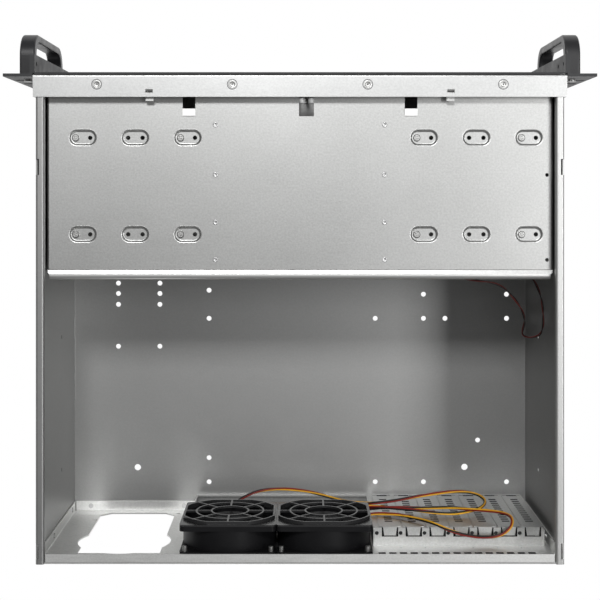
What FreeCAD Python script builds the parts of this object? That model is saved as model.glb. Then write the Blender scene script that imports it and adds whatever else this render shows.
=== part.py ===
import FreeCAD, Part
import math
import os
import re
import Sketcher

# An empty 4U rackmount server case, 19 inches wide, short, with its lid off.
# Millimetres, +Z up. The front faces -Y and the power supply bay is on the +X side.
# The origin is under the middle of the whole case, handles included, at the height
# of the underside of the floor.

SIZES = {
    # The folded steel shell.
    "case_width": 430.0,
    "case_depth": 400.0,
    "case_height": 177.0,
    "sheet": 1.2,
    "bend": 0.8,
    "slip": 0.1,
    "rim_width": 7.1,
    "rim_lip": 5.0,
    "notch_length": 13.0,
    "notch_depth": 3.0,
    "notch_front": 323.1,
    "notch_rear": 10.6,
    "wall_hole": 1.9,
    "wall_hole_level": 66.0,
    "wall_hole_rear": 53.5,
    "wall_hole_front": 172.7,
    # Wide clearance for cuts that run past a face.
    "past": 1.0,
    # How far the handles stand ahead of the front, and the screw heads behind the rear.
    "handle_reach": 35.3,
    "rear_proud": 2.0,
    # Motherboard holes in the floor: the first column, the rear row and the pitches.
    "board_hole": 2.3,
    "board_column_in": 301.2,
    "board_row": 28.3,
    "board_pitch_1": 157.48,
    "board_pitch_2": 203.2,
    "board_pitch_3": 281.94,
    "board_pitch_y": 154.94,
    "board_step_y": 22.86,
    "front_row_extra": 3.8,
    "odd_hole_shift": 20.4,
    "slot_hole_shift": 27.4,
    "slot_hole_back": 39.6,
    "spare_hole": 3.0,
    "spare_shift": 39.9,
    "spare_back": 14.1,
    "supply_spare_shift": 2.2,
    "supply_spare_back": 13.8,
    # Pairs of holes in the floor ahead of the power supply.
    "pair_plus": 20.5,
    "pair_minus": 18.8,
    "pair_back_1": 128.5,
    "pair_back_2": 168.2,
    "pair_back_3": 178.5,
    "pair_back_4": 188.3,
    # Rear panel.
    "flange": 10.4,
    "top_flange": 8.5,
    "edge_hole": 1.2,
    "edge_hole_rise": 5.6,
    "rear_vent_width": 5.8,
    "rear_vent_height": 6.0,
    "rear_vent_pitch": 8.95,
    "rear_vent_count": 15,
    "rear_vent_in": 146.4,
    "rear_vent_level": 147.0,
    # Power supply cut-out.
    "supply_in": 63.4,
    "supply_z": 78.2,
    "supply_width": 69.0,
    "supply_height": 136.0,
    "supply_corner": 9.0,
    "supply_fan_radius": 40.0,
    "supply_fan_z": 108.2,
    "supply_screw": 2.0,
    "supply_screw_side": 37.4,
    "supply_screw_z": 12.8,
    "supply_screw_rise": 138.0,
    "supply_screw_reach": 64.0,
    "supply_screw_far": 74.0,
    "supply_screw_drop": 114.0,
    # Stepped recess for the connectors and the slots.
    "recess_far": 312.7,
    "recess_near": 6.5,
    "recess_step_in": 152.4,
    "recess_depth": 15.2,
    "recess_roof": 62.0,
    "shelf_level": 123.2,
    "io_in": 231.9,
    "io_z": 28.6,
    "io_width": 158.75,
    "io_height": 44.45,
    "slot_pitch": 20.32,
    "slot_in": 138.2,
    "slot_count": 7,
    "slot_opening": 13.6,
    "slot_sill": 12.0,
    "slot_head": 5.0,
    "slot_screw_in": 149.5,
    "slot_screw": 1.7,
    "slot_screw_back": 4.6,
    "tail_slot_width": 16.4,
    "tail_slot_level": 5.4,
    "tail_slot_height": 2.6,
    # Slot covers.
    "cover_sheet": 0.8,
    "cover_width": 18.6,
    "cover_foot": 9.4,
    "cover_lap": 3.0,
    "cover_vent_width": 6.4,
    "cover_vent_height": 3.2,
    "cover_vent_pitch": 7.2,
    "cover_vent_count": 12,
    "cover_vent_start": 25.0,
    "tab_front": 6.0,
    "tab_rear": 4.8,
    "tab_length": 6.6,
    "tab_gap": 0.7,
    # Rear fans.
    "fan_size": 80.0,
    "fan_depth": 25.0,
    "fan_flange": 4.0,
    "fan_corner": 4.0,
    "fan_bore": 38.2,
    "fan_barrel": 39.9,
    "fan_hole_pitch": 71.5,
    "fan_hole": 2.2,
    "fan_in": 274.9,
    "fan_gap": 0.2,
    "fan_level": 118.2,
    "motor_radius": 17.0,
    "motor_plate": 3.0,
    "shaft_radius": 1.5,
    "shaft_fit": 0.05,
    "strut_width": 4.0,
    "exit_right": 8.1,
    "exit_left": 23.7,
    "exit_left_drop": 34.3,
    "exit_ahead": 1.3,
    "exit_width": 4.4,
    "exit_height": 4.0,
    "blade_count": 7,
    "blade_tip": 35.4,
    "blade_thickness": 1.4,
    "blade_slant": 0.4,
    "blade_root_in": 2.5,
    "blade_root_chord": 17.0,
    "blade_root_sweep": 12.0,
    "blade_tip_chord": 14.0,
    "blade_tip_sweep": 22.0,
    "blade_ahead": 1.6,
    "rotor_front": 1.0,
    "shaft_end": 0.4,
    "rotor_gap": 1.4,
    "guard_plate": 1.4,
    "guard_wall": 1.4,
    "guard_bars": 1.8,
    "guard_depth": 4.0,
    "guard_rim": 42.3,
    "guard_flat": 38.6,
    "guard_ring_outer": 28.6,
    "guard_ring_inner": 15.8,
    "guard_rib": 1.5,
    "grille_rib": 4.0,
    "grille_slot": 5.4,
    "grille_first": 11.0,
    # Front frame, panel and ears.
    "frame_over": 1.85,
    "strip_depth": 18.5,
    "strip_screw_x1": 55.0,
    "strip_screw_x2": 165.0,
    "strip_screw_back": 8.4,
    "strip_screw_length": 5.0,
    "strip_sink": 0.6,
    "strip_slot_x": 122.5,
    "strip_slot_back": 13.8,
    "strip_slot_width": 6.0,
    "strip_slot_length": 3.0,
    "window_side": 10.0,
    "rail_set_back": 4.0,
    "rail_front": 1.0,
    "hook_width": 6.4,
    "hook_reach": 3.2,
    "panel_sheet": 1.5,
    "panel_wing": 14.7,
    "panel_margin": 0.3,
    "wing_hole": 1.8,
    "wing_hole_level": 168.4,
    "wing_hole_drop": 21.4,
    "ear_reach": 24.45,
    "ear_sheet": 2.5,
    "ear_margin": 0.6,
    "rack_hole_in": 8.75,
    "rack_slot": 3.4,
    "rack_slot_run": 3.1,
    "rack_slot_inner": 38.1,
    "rack_slot_outer": 101.6,
    # Handles.
    "handle_width": 12.7,
    "handle_height": 128.0,
    "handle_bar": 6.2,
    "handle_arm": 9.4,
    "handle_corner": 19.0,
    "handle_round": 1.6,
    "handle_screw": 2.0,
    "handle_screw_depth": 11.0,
    "ear_stand": 2.0,
    "ear_tip": 1.0,
    # Drive cage.
    "cage_gap": 7.5,
    "cage_drop": 10.8,
    "cage_foot_gap": 1.0,
    "cage_rear": 230.9,
    "roll_radius": 3.4,
    "roll_drop": 12.0,
    "groove_ahead": 7.8,
    "groove_depth": 0.9,
    "groove_front": 0.5,
    "groove_run": 3.3,
    "edge_hole_in": 5.0,
    "edge_hole_radius": 1.5,
    "edge_hole_1": 16.2,
    "edge_hole_2": 85.8,
    "bay_pitch": 43.0,
    "bay_margin": 24.6,
    "bay_width": 41.6,
    "bay_head": 12.6,
    "bay_shift": 0.3,
    "cover_round": 1.0,
    "cover_wall": 1.6,
    "cover_depth": 9.0,
    "cover_field": 4.0,
    "cover_field_round": 2.0,
    "dimple_shift": 4.8,
    "dimple_run": 4.75,
    "dimple_radius": 5.9,
    "dimple_depth": 1.5,
    "dimple_slope": 40.0,
    "drive_hole": 1.8,
    "drive_hole_pitch": 11.8,
    "drive_row_front": 347.2,
    "drive_row_pitch": 79.24,
    "partition_gap": 0.8,
    "partition_flange": 12.0,
    "rivet_back_1": 357.8,
    "rivet_back_2": 316.9,
    "rivet_back_3": 277.8,
    "rivet_back_4": 247.2,
    "lower_plate": 17.4,
    "cage_notch_side": 15.7,
    "cage_notch_width": 10.4,
    "cage_notch_depth": 29.0,
    "centre_notch_x": 5.3,
    "centre_notch_width": 12.2,
    "centre_notch_depth": 35.2,
    "hem_length": 5.8,
    "cable_hole_back": 149.0,
    "cable_hole_level": 147.2,
    "cable_hole_width": 24.0,
    "cable_hole_height": 14.0,
    # Buttons, lights and sockets of the front panel.
    "controls_drop": 37.0,
    "controls_side": 9.3,
    "controls_back": 14.0,
    "controls_height": 28.0,
    "controls_foot": 7.5,
    "switch_size": 13.0,
    "switch_depth": 6.0,
    "stem_radius": 1.6,
    "power_radius": 6.0,
    "power_x": 34.0,
    "reset_radius": 3.0,
    "reset_x": 17.0,
    "button_gap": 0.3,
    "button_travel": 2.0,
    "button_proud": 1.2,
    "stem_gap": 1.0,
    "lamp_radius": 1.5,
    "lamp_x": 4.0,
    "lamp_proud": 0.5,
    "socket_width": 13.1,
    "socket_height": 5.7,
    "socket_x": 34.0,
    "socket_rise": 6.0,
    "socket_proud": 0.2,
    "socket_wall": 0.5,
    "socket_floor": 2.0,
    "tongue_width": 10.1,
    "tongue_height": 1.8,
    "tongue_rise": 0.9,
    "tongue_back": 1.0,
    "panel_vent_width": 4.0,
    "panel_vent_height": 44.0,
    "panel_vent_pitch": 9.0,
    "panel_vent_count": 11,
    "panel_vent_low": 24.0,
    "panel_vent_high": 74.0,
    "panel_vent_round": 1.9,
    # Fasteners.
    "rivet_radius": 2.2,
    "rivet_head": 0.7,
    "rear_rivet_1": 19.0,
    "rear_rivet_2": 109.0,
    "rear_rivet_3": 155.0,
    "floor_rivet_near": 12.0,
    "floor_rivet_far": 16.0,
    "screw_head": 3.2,
    "screw_head_height": 1.8,
    "screw_shank": 1.5,
    "cage_screw_head": 3.0,
    "cage_screw_height": 1.6,
    "cage_screw_length": 5.0,
    "fan_screw_head": 3.6,
    "fan_screw_length": 4.0,
    # Wires.
    "plug_length": 14.0,
    "plug_width": 6.2,
    "plug_height": 7.2,
    "plug_round": 0.6,
    "panel_plug": 5.2,
    "panel_plug_round": 0.4,
    "lead_diameter": 3.0,
    "panel_lead_diameter": 2.2,
}

# Sizes that follow from the others. The power supply keeps its distance from the +X side,
# and the motherboard, its connectors, the slots and the fans keep theirs from the -X side.
FOLLOWS = {
    "cage_width": "case_width - 2 * cage_gap",
    "frame_width": "case_width + 2 * frame_over",
    "ear_width": "frame_width + 2 * ear_reach",
    "rack_hole_pitch": "ear_width - 2 * rack_hole_in",
    "cage_top": "case_height - cage_drop",
    "controls_level": "case_height - controls_drop",
    "bay_height": "case_height - lower_plate - bay_head",
    "bay_outer": "cage_width / 2 - bay_margin",
    "partition_x": "bay_outer - 2 * bay_pitch - bay_width / 2 - partition_gap",
    "cage_notch_x": "partition_x + cage_notch_side",
    "controls_half": "partition_x - controls_side",
    "supply_x": "case_width / 2 - supply_in",
    "supply_screw_x": "supply_x - supply_screw_side",
    "board_column": "board_column_in - case_width / 2",
    "recess_plus": "recess_far - case_width / 2",
    "recess_minus": "case_width / 2 - recess_near",
    "recess_step": "case_width / 2 - recess_step_in",
    "io_x": "io_in - case_width / 2",
    "slot_first": "case_width / 2 - slot_in",
    "slot_screw_first": "case_width / 2 - slot_screw_in",
    "rear_vent_start": "case_width / 2 - rear_vent_in",
    "fan_x": "fan_in - case_width / 2",
}

doc = FreeCAD.newDocument("rack_case")
sheet = doc.addObject("Spreadsheet::Sheet", "Sizes")
for row, (name, value) in enumerate(SIZES.items(), start=1):
    sheet.set(f"A{row}", name)
    sheet.set(f"B{row}", str(value))
    sheet.setAlias(f"B{row}", name)
doc.recompute()

PIECES = []
SLOTS = SIZES["slot_count"]
PLANES = {"XY": ("XY_Plane", 1), "XZ": ("XZ_Plane", -1), "YZ": ("YZ_Plane", 1)}
FLAT = FreeCAD.Vector(0, 0, 1)

# Planes and levels that several pieces share, as expressions of the sizes.
Y_REAR = "((case_depth + handle_reach - rear_proud) / 2)"
Y_FRONT = f"({Y_REAR} - case_depth)"
Y_REAR_INNER = f"({Y_REAR} - sheet)"
Y_FRAME = f"({Y_FRONT} + panel_sheet)"
Y_TRAY = f"({Y_FRAME} + sheet)"
Y_FACE = f"({Y_REAR_INNER} - recess_depth)"
Y_CAGE_REAR = f"({Y_REAR} - cage_rear)"
Y_EAR_BACK = f"({Y_FRAME} + ear_stand)"
Z_RIM = "(case_height - sheet)"
X_WALL = "(case_width / 2 - sheet)"
X_WING = "(frame_width / 2 + slip)"
OUTER_BEND = "(bend + sheet)"


def bound(expression):
    """The expression with each size written as a cell of the sheet."""
    def cell(match):
        word = match.group()
        if word in FOLLOWS:
            return f"({bound(FOLLOWS[word])})"
        return f"Sizes.{word}" if word in SIZES else word
    return re.sub(r"[a-z][a-z_0-9]*", cell, str(expression))


def number(expression):
    """The value that an expression of sizes has now."""
    return float(sheet.evalExpression(bound(expression)))


def new_body(label):
    body = doc.addObject("PartDesign::Body", label)
    body.Label = label
    PIECES.append(body)
    return body


def place(body, x=0, y=0, z=0):
    """Moves a body that is modelled about its own origin to its seat."""
    for axis, expression in zip("xyz", (x, y, z)):
        body.setExpression(f"Placement.Base.{axis}", bound(expression))


def own_plane(body, role):
    return next(f for f in body.Origin.OriginFeatures if f.Role == role)


def point_at(x, y):
    return FreeCAD.Vector(number(x), number(y), 0)


class Outline:
    """Collects the geometry and the bound constraints of one sketch."""

    def __init__(self, sketch):
        self.sketch = sketch
        self.shapes = []
        self.rules = []

    def add(self, shape):
        self.shapes.append(shape)
        return len(self.shapes) - 1

    def pin(self, shape, end, x, y):
        self.rules.append((("DistanceX", -1, 1, shape, end), x))
        self.rules.append((("DistanceY", -1, 1, shape, end), y))

    def join(self, shape, end, other, other_end):
        self.rules.append((("Coincident", shape, end, other, other_end), None))

    def radius(self, shape, size):
        self.rules.append((("Radius", shape), size))

    def finish(self):
        self.sketch.addGeometry(self.shapes, False)
        rules = []
        for words, size in self.rules:
            value = () if size is None else (number(size),)
            rules.append(Sketcher.Constraint(*words, *value))
        self.sketch.addConstraint(rules)
        for index, (words, size) in enumerate(self.rules):
            if size is not None:
                self.sketch.setExpression(f"Constraints[{index}]", bound(size))


def circle(x, y, size):
    """A round outline of radius size."""
    def draw(outline):
        shape = outline.add(Part.Circle(point_at(x, y), FLAT, number(size)))
        outline.pin(shape, 3, x, y)
        outline.radius(shape, size)
    return draw


def arc_through(centre, size, start, end):
    """The anticlockwise arc about a centre from one point to another."""
    first = math.atan2(start.y - centre.y, start.x - centre.x)
    last = math.atan2(end.y - centre.y, end.x - centre.x)
    if last <= first:
        last += 2 * math.pi
    return Part.ArcOfCircle(Part.Circle(centre, FLAT, size), first, last)


def polygon(*corners):
    """A closed outline. A corner's third value rounds it, between level and upright sides."""
    def draw(outline):
        count = len(corners)
        spots = [point_at(c[0], c[1]) for c in corners]
        starts, ends, lines = [], [], []
        for i, corner in enumerate(corners):
            x, y = corner[0], corner[1]
            if len(corner) == 2:
                starts.append((x, y))
                ends.append((x, y))
                continue
            into = (spots[i] - spots[i - 1]).normalize()
            out = (spots[(i + 1) % count] - spots[i]).normalize()
            ends.append((f"({x}) - {round(into.x)} * ({corner[2]})",
                         f"({y}) - {round(into.y)} * ({corner[2]})"))
            starts.append((f"({x}) + {round(out.x)} * ({corner[2]})",
                           f"({y}) + {round(out.y)} * ({corner[2]})"))
        for i in range(count):
            start, end = starts[i], ends[(i + 1) % count]
            line = outline.add(Part.LineSegment(point_at(*start), point_at(*end)))
            outline.pin(line, 1, *start)
            lines.append(line)
        for i, corner in enumerate(corners):
            before = lines[i - 1]
            after = lines[i]
            if len(corner) == 2:
                outline.join(before, 2, after, 1)
                continue
            entry, leave = point_at(*ends[i]), point_at(*starts[i])
            centre = entry + leave - spots[i]
            turn = (spots[i] - spots[i - 1]).cross(spots[(i + 1) % count] - spots[i]).z
            outline.pin(before, 2, *ends[i])
            if turn > 0:
                arc = outline.add(arc_through(centre, number(corner[2]), entry, leave))
                outline.join(arc, 1, before, 2)
                outline.join(arc, 2, after, 1)
            else:
                arc = outline.add(arc_through(centre, number(corner[2]), leave, entry))
                outline.join(arc, 2, before, 2)
                outline.join(arc, 1, after, 1)
            outline.radius(arc, corner[2])
    return draw


def rectangle(x0, y0, x1, y1, round_by=None):
    """A level rectangle between two corners, with rounded corners if round_by is given."""
    ends = ((x0, y0), (x1, y0), (x1, y1), (x0, y1))
    if round_by is not None:
        ends = tuple(end + (round_by,) for end in ends)
    return polygon(*ends)


def window(x, y, width, height, round_by=None):
    """A rectangle about its middle."""
    return rectangle(f"({x}) - ({width}) / 2", f"({y}) - ({height}) / 2",
                     f"({x}) + ({width}) / 2", f"({y}) + ({height}) / 2", round_by)


def slot(x, y, run, size):
    """A level oblong: two half circles of radius size, run either side of the middle."""
    def draw(outline):
        left, right = f"({x}) - ({run})", f"({x}) + ({run})"
        top, bottom = f"({y}) + ({size})", f"({y}) - ({size})"
        lower = outline.add(Part.LineSegment(point_at(left, bottom), point_at(right, bottom)))
        upper = outline.add(Part.LineSegment(point_at(right, top), point_at(left, top)))
        nose = outline.add(arc_through(point_at(right, y), number(size),
                                       point_at(right, bottom), point_at(right, top)))
        tail = outline.add(arc_through(point_at(left, y), number(size),
                                       point_at(left, top), point_at(left, bottom)))
        outline.pin(lower, 1, left, bottom)
        outline.pin(lower, 2, right, bottom)
        outline.pin(upper, 1, right, top)
        outline.pin(upper, 2, left, top)
        outline.join(nose, 1, lower, 2)
        outline.join(nose, 2, upper, 1)
        outline.join(tail, 1, upper, 2)
        outline.join(tail, 2, lower, 1)
        outline.rules.append((("DistanceX", -1, 1, nose, 3), right))
        outline.rules.append((("DistanceX", -1, 1, tail, 3), left))
    return draw


def sector(inner, outer, first, last):
    """A piece of a ring about the sketch's origin, between two angles in degrees."""
    def draw(outline):
        centre = point_at(0, 0)
        ends = {}
        for size in (inner, outer):
            for angle in (first, last):
                ends[size, angle] = (f"({size}) * cos({angle})", f"({size}) * sin({angle})")
        arcs = [outline.add(arc_through(centre, number(size), point_at(*ends[size, first]),
                                        point_at(*ends[size, last]))) for size in (inner, outer)]
        for arc, size in zip(arcs, (inner, outer)):
            outline.pin(arc, 3, 0, 0)
            outline.radius(arc, size)
        for end, angle in ((1, first), (2, last)):
            side = outline.add(Part.LineSegment(point_at(*ends[inner, angle]),
                                                point_at(*ends[outer, angle])))
            outline.join(side, 1, arcs[0], end)
            outline.join(side, 2, arcs[1], end)
            level = abs(math.sin(math.radians(number(angle)))) > 0.5
            for side_end, size in ((1, inner), (2, outer)):
                word, place_in = ("DistanceX", 0) if level else ("DistanceY", 1)
                outline.rules.append(((word, -1, 1, side, side_end), ends[size, angle][place_in]))
    return draw


def sketch(body, plane, level, outlines):
    """Outlines on one of the body's own planes, moved along the plane's axis to a level."""
    role, sense = PLANES[plane]
    drawing = body.newObject("Sketcher::SketchObject", "Sketch")
    drawing.AttachmentSupport = [(own_plane(body, role), "")]
    drawing.MapMode = "FlatFace"
    drawing.setExpression("AttachmentOffset.Base.z", bound(f"{sense} * ({level})"))
    outline = Outline(drawing)
    for draw in outlines:
        draw(outline)
    outline.finish()
    return drawing


def add(body, plane, start, end, *outlines):
    """Adds the outlines' prism from the level start to the level end."""
    pad = body.newObject("PartDesign::Pad", "Pad")
    pad.Profile = sketch(body, plane, start, outlines)
    pad.setExpression("Length", bound(f"({end}) - ({start})"))
    pad.Reversed = plane == "XZ"
    return pad


def cut(body, plane, start, end, *outlines):
    """Takes the outlines' prism away from the level start to the level end."""
    pocket = body.newObject("PartDesign::Pocket", "Pocket")
    pocket.Profile = sketch(body, plane, start, outlines)
    pocket.setExpression("Length", bound(f"({end}) - ({start})"))
    pocket.Reversed = plane != "XZ"
    return pocket


def repeat(body, feature, axis, pitch, count, backwards=False):
    """Repeats a feature along one of the body's own axes."""
    pattern = body.newObject("PartDesign::LinearPattern", "LinearPattern")
    pattern.Originals = [feature]
    pattern.Direction = (own_plane(body, axis), [""])
    pattern.Reversed = backwards
    pattern.setExpression("Length", bound(f"({pitch}) * (({count}) - 1)"))
    pattern.setExpression("Occurrences", bound(count))
    body.Tip = pattern
    return pattern


def turn_round(body, feature, count):
    """Repeats a feature round the body's own Y axis."""
    pattern = body.newObject("PartDesign::PolarPattern", "PolarPattern")
    pattern.Originals = [feature]
    pattern.Axis = (own_plane(body, "Y_Axis"), [""])
    pattern.Angle = 360
    pattern.setExpression("Occurrences", bound(count))
    body.Tip = pattern
    return pattern


# ---------------------------------------------------------------- folded shell

def base_tray():
    """Floor, side walls and top rims: one sheet folded to a section, then pierced."""
    body = new_body("base_tray")
    wall, rim = "case_width / 2", "(case_width / 2 - rim_width)"
    half = [
        ("{s} * " + rim, f"{Z_RIM} - rim_lip"),
        ("{s} * " + rim, Z_RIM, OUTER_BEND),
        ("{s} * " + wall, Z_RIM, OUTER_BEND),
        ("{s} * " + wall, 0, OUTER_BEND),
    ]
    inner = [
        ("{s} * (" + rim + " + sheet)", f"{Z_RIM} - rim_lip"),
        ("{s} * (" + rim + " + sheet)", f"{Z_RIM} - sheet", "bend"),
        ("{s} * " + X_WALL, f"{Z_RIM} - sheet", "bend"),
        ("{s} * " + X_WALL, "sheet", "bend"),
    ]

    def side(points, sign):
        return [(p[0].format(s=sign),) + tuple(p[1:]) for p in points]

    section = side(half, -1) + side(half, 1)[::-1] + side(inner, 1) + side(inner, -1)[::-1]
    add(body, "XZ", f"{Y_TRAY} + bend", Y_REAR, polygon(*section))
    relief = [rectangle(f"{sign} * ({rim} - past)", f"{Y_REAR_INNER} - slip",
                        f"{sign} * ({rim} + sheet + slip)", f"{Y_REAR} + past") for sign in (1, -1)]
    cut(body, "XY", f"{Z_RIM} - rim_lip - past", f"{Z_RIM} - sheet", *relief)

    notches = []
    for sign in (1, -1):
        for back in ("notch_front", "notch_rear"):
            notches.append(rectangle(f"{sign} * (case_width / 2 + past)",
                                     f"{Y_REAR} - {back} - notch_length / 2",
                                     f"{sign} * (case_width / 2 - notch_depth)",
                                     f"{Y_REAR} - {back} + notch_length / 2"))
    cut(body, "XY", f"{Z_RIM} - 2 * sheet", "case_height", *notches)

    columns = ["board_column"] + [f"board_column - board_pitch_{i}" for i in (1, 2, 3)]
    rear_row = f"{Y_REAR} - board_row"
    front_row = f"{rear_row} - board_pitch_y"
    holes = [circle(x, y, "board_hole") for x in columns for y in (rear_row, front_row)]
    holes.append(circle(columns[0], f"{rear_row} - board_step_y", "board_hole"))
    holes.append(circle(columns[0], f"{front_row} - board_step_y - front_row_extra", "board_hole"))
    holes += [circle(x, f"{front_row} - board_step_y", "board_hole") for x in columns[2:]]
    holes.append(circle(f"{columns[2]} - odd_hole_shift", front_row, "board_hole"))
    holes.append(circle(f"{columns[3]} + slot_hole_shift", f"{rear_row} - slot_hole_back", "board_hole"))
    holes.append(circle(f"{columns[3]} + spare_shift", f"{rear_row} - spare_back", "spare_hole"))
    holes.append(circle("supply_x + supply_spare_shift", f"{rear_row} - supply_spare_back", "spare_hole"))
    for x in ("supply_x + pair_plus", "supply_x - pair_minus"):
        for i in (1, 2, 3, 4):
            holes.append(circle(x, f"{rear_row} - pair_back_{i}", "board_hole"))
    cut(body, "XY", "-past", "2 * sheet", *holes)

    rail_holes = [circle(f"{Y_REAR} - {back}", "wall_hole_level", "wall_hole")
                  for back in ("wall_hole_rear", "wall_hole_front")]
    cut(body, "YZ", "-case_width", "case_width", *rail_holes)


def recess_steps(inset):
    """The stepped outline of the recess, pulled in by a wall's thickness."""
    plus, minus = f"recess_plus - {inset}", f"-recess_minus + {inset}"
    return polygon((minus, f"sheet + {inset}"), (plus, f"sheet + {inset}"),
                   (plus, f"recess_roof - {inset}"), (f"-recess_step - {inset}", f"recess_roof - {inset}"),
                   (f"-recess_step - {inset}", f"shelf_level - {inset}"), (minus, f"shelf_level - {inset}"))


def fan_centre(index):
    """The X of a rear fan's axis; fan 1 is beside the power supply."""
    return f"(fan_x - {index - 1} * (fan_size + fan_gap))"


def moved(draw, x, z):
    """The same outline about another point of the sketch."""
    def draw_there(outline):
        first_shape, first_rule = len(outline.shapes), len(outline.rules)
        draw(outline)
        for shape in outline.shapes[first_shape:]:
            shape.translate(point_at(x, z))
        for index in range(first_rule, len(outline.rules)):
            words, size = outline.rules[index]
            if words[0] == "DistanceX":
                outline.rules[index] = (words, f"({x}) + ({size})")
            if words[0] == "DistanceY":
                outline.rules[index] = (words, f"({z}) + ({size})")
    return draw_there


def rear_panel():
    """The rear sheet, with flanges folded forward all round, and everything cut in it."""
    body = new_body("rear_panel")
    edge = f"({X_WALL} - slip)"
    add(body, "XZ", Y_REAR_INNER, Y_REAR,
        rectangle(f"-{edge} + {OUTER_BEND}", f"sheet + {OUTER_BEND}",
                  f"{edge} - {OUTER_BEND}", f"{Z_RIM} - {OUTER_BEND}"))
    top_end = "(case_width / 2 - rim_width - past)"
    add(body, "YZ", f"-{top_end}", top_end,
        polygon((Y_REAR, f"{Z_RIM} - rim_width"), (Y_REAR, Z_RIM, OUTER_BEND),
                (f"{Y_REAR} - top_flange", Z_RIM), (f"{Y_REAR} - top_flange", f"{Z_RIM} - sheet"),
                (Y_REAR_INNER, f"{Z_RIM} - sheet", "bend"), (Y_REAR_INNER, f"{Z_RIM} - rim_width")))
    add(body, "YZ", "recess_plus", f"{edge} - {OUTER_BEND}",
        polygon((Y_REAR, "sheet + rim_width"), (Y_REAR_INNER, "sheet + rim_width"),
                (Y_REAR_INNER, "2 * sheet", "bend"), (f"{Y_REAR} - flange", "2 * sheet"),
                (f"{Y_REAR} - flange", "sheet"), (Y_REAR, "sheet", OUTER_BEND)))
    for sign in (1, -1):
        add(body, "XY", f"sheet + {OUTER_BEND}", f"{Z_RIM} - rim_lip - sheet",
            polygon((f"{sign} * ({edge} - rim_width)", Y_REAR), (f"{sign} * {edge}", Y_REAR, OUTER_BEND),
                    (f"{sign} * {edge}", f"{Y_REAR} - flange"),
                    (f"{sign} * ({edge} - sheet)", f"{Y_REAR} - flange"),
                    (f"{sign} * ({edge} - sheet)", Y_REAR_INNER, "bend"),
                    (f"{sign} * ({edge} - rim_width)", Y_REAR_INNER)))

    def pierce(*outlines):
        return cut(body, "XZ", f"{Y_REAR_INNER} - past", f"{Y_REAR} + past", *outlines)

    pierce(recess_steps("sheet"))
    low, high = "supply_z - supply_height / 2", "supply_z + supply_height / 2"
    near, far = "supply_x - supply_width / 2", "supply_x + supply_width / 2"
    pierce(polygon((f"{near} + supply_corner", low), (f"{far} - supply_corner", low),
                   (far, f"{low} + supply_corner"), (far, high), (near, high),
                   (near, f"{low} + supply_corner")))
    pierce(circle("supply_x", "supply_fan_z", "supply_fan_radius"))
    screw_top = "supply_screw_z + supply_screw_rise"
    pierce(circle("supply_screw_x", "supply_screw_z", "supply_screw"),
           circle("supply_screw_x", screw_top, "supply_screw"),
           circle("supply_screw_x + supply_screw_reach", screw_top, "supply_screw"),
           circle("supply_screw_x + supply_screw_far", f"{screw_top} - supply_screw_drop", "supply_screw"))
    vent = pierce(window("-rear_vent_start", "rear_vent_level", "rear_vent_width", "rear_vent_height"))
    repeat(body, vent, "X_Axis", "rear_vent_pitch", "rear_vent_count", backwards=True)
    pierce(*[circle(f"-slot_screw_first - {i} * slot_pitch", "shelf_level + edge_hole_rise", "edge_hole")
             for i in range(1, SLOTS)])
    for index in (1, 2):
        x = fan_centre(index)
        rings = [circle(f"{x} + {sx} * fan_hole_pitch / 2", f"fan_level + {sz} * fan_hole_pitch / 2",
                        "fan_hole") for sx in (-1, 1) for sz in (-1, 1)]
        for ring in range(3):
            inner = f"(grille_first + {ring} * (grille_slot + grille_rib))"
            outer = f"({inner} + grille_slot)"
            for quarter in range(4):
                angle = f"asin(grille_rib / 2 / {inner})"
                rings.append(moved(sector(inner, outer, f"{90 * quarter} deg + {angle}",
                                          f"{90 * quarter + 90} deg - {angle}"), x, "fan_level"))
        pierce(*rings)


def io_bracket():
    """The drawn recess: a face set in from the rear panel, with its walls and the slot shelf."""
    body = new_body("io_bracket")
    add(body, "XZ", Y_FACE, Y_REAR_INNER, recess_steps("0"))
    cut(body, "XZ", f"{Y_FACE} + sheet", Y_REAR, recess_steps("sheet"))
    through = (f"{Y_FACE} - past", f"{Y_FACE} + 2 * sheet")
    cut(body, "XZ", *through, window("io_x", "io_z", "io_width", "io_height", "bend"))
    first = "-slot_first"
    opening = cut(body, "XZ", *through,
                  rectangle(f"{first} - slot_opening / 2", "slot_sill",
                            f"{first} + slot_opening / 2", "shelf_level - slot_head"))
    repeat(body, opening, "X_Axis", "slot_pitch", "slot_count", backwards=True)
    tail = cut(body, "XZ", *through, window(first, "tail_slot_level + tail_slot_height / 2",
                                            "tail_slot_width", "tail_slot_height"))
    repeat(body, tail, "X_Axis", "slot_pitch", "slot_count", backwards=True)
    seat = cut(body, "XY", "shelf_level - 1.5 * sheet", "shelf_level + past",
               polygon((f"{first} - tab_front - tab_gap", f"{Y_FACE} - past"),
                       (f"{first} + tab_front + tab_gap", f"{Y_FACE} - past"),
                       (f"{first} + tab_rear + tab_gap", f"{Y_FACE} + tab_length + tab_gap"),
                       (f"{first} - tab_rear - tab_gap", f"{Y_FACE} + tab_length + tab_gap")))
    repeat(body, seat, "X_Axis", "slot_pitch", "slot_count", backwards=True)
    hole = cut(body, "XY", "shelf_level - 2 * sheet", "shelf_level + past",
               circle("-slot_screw_first", f"{Y_FACE} + slot_screw_back", "slot_screw"))
    repeat(body, hole, "X_Axis", "slot_pitch", "slot_count", backwards=True)


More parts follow.
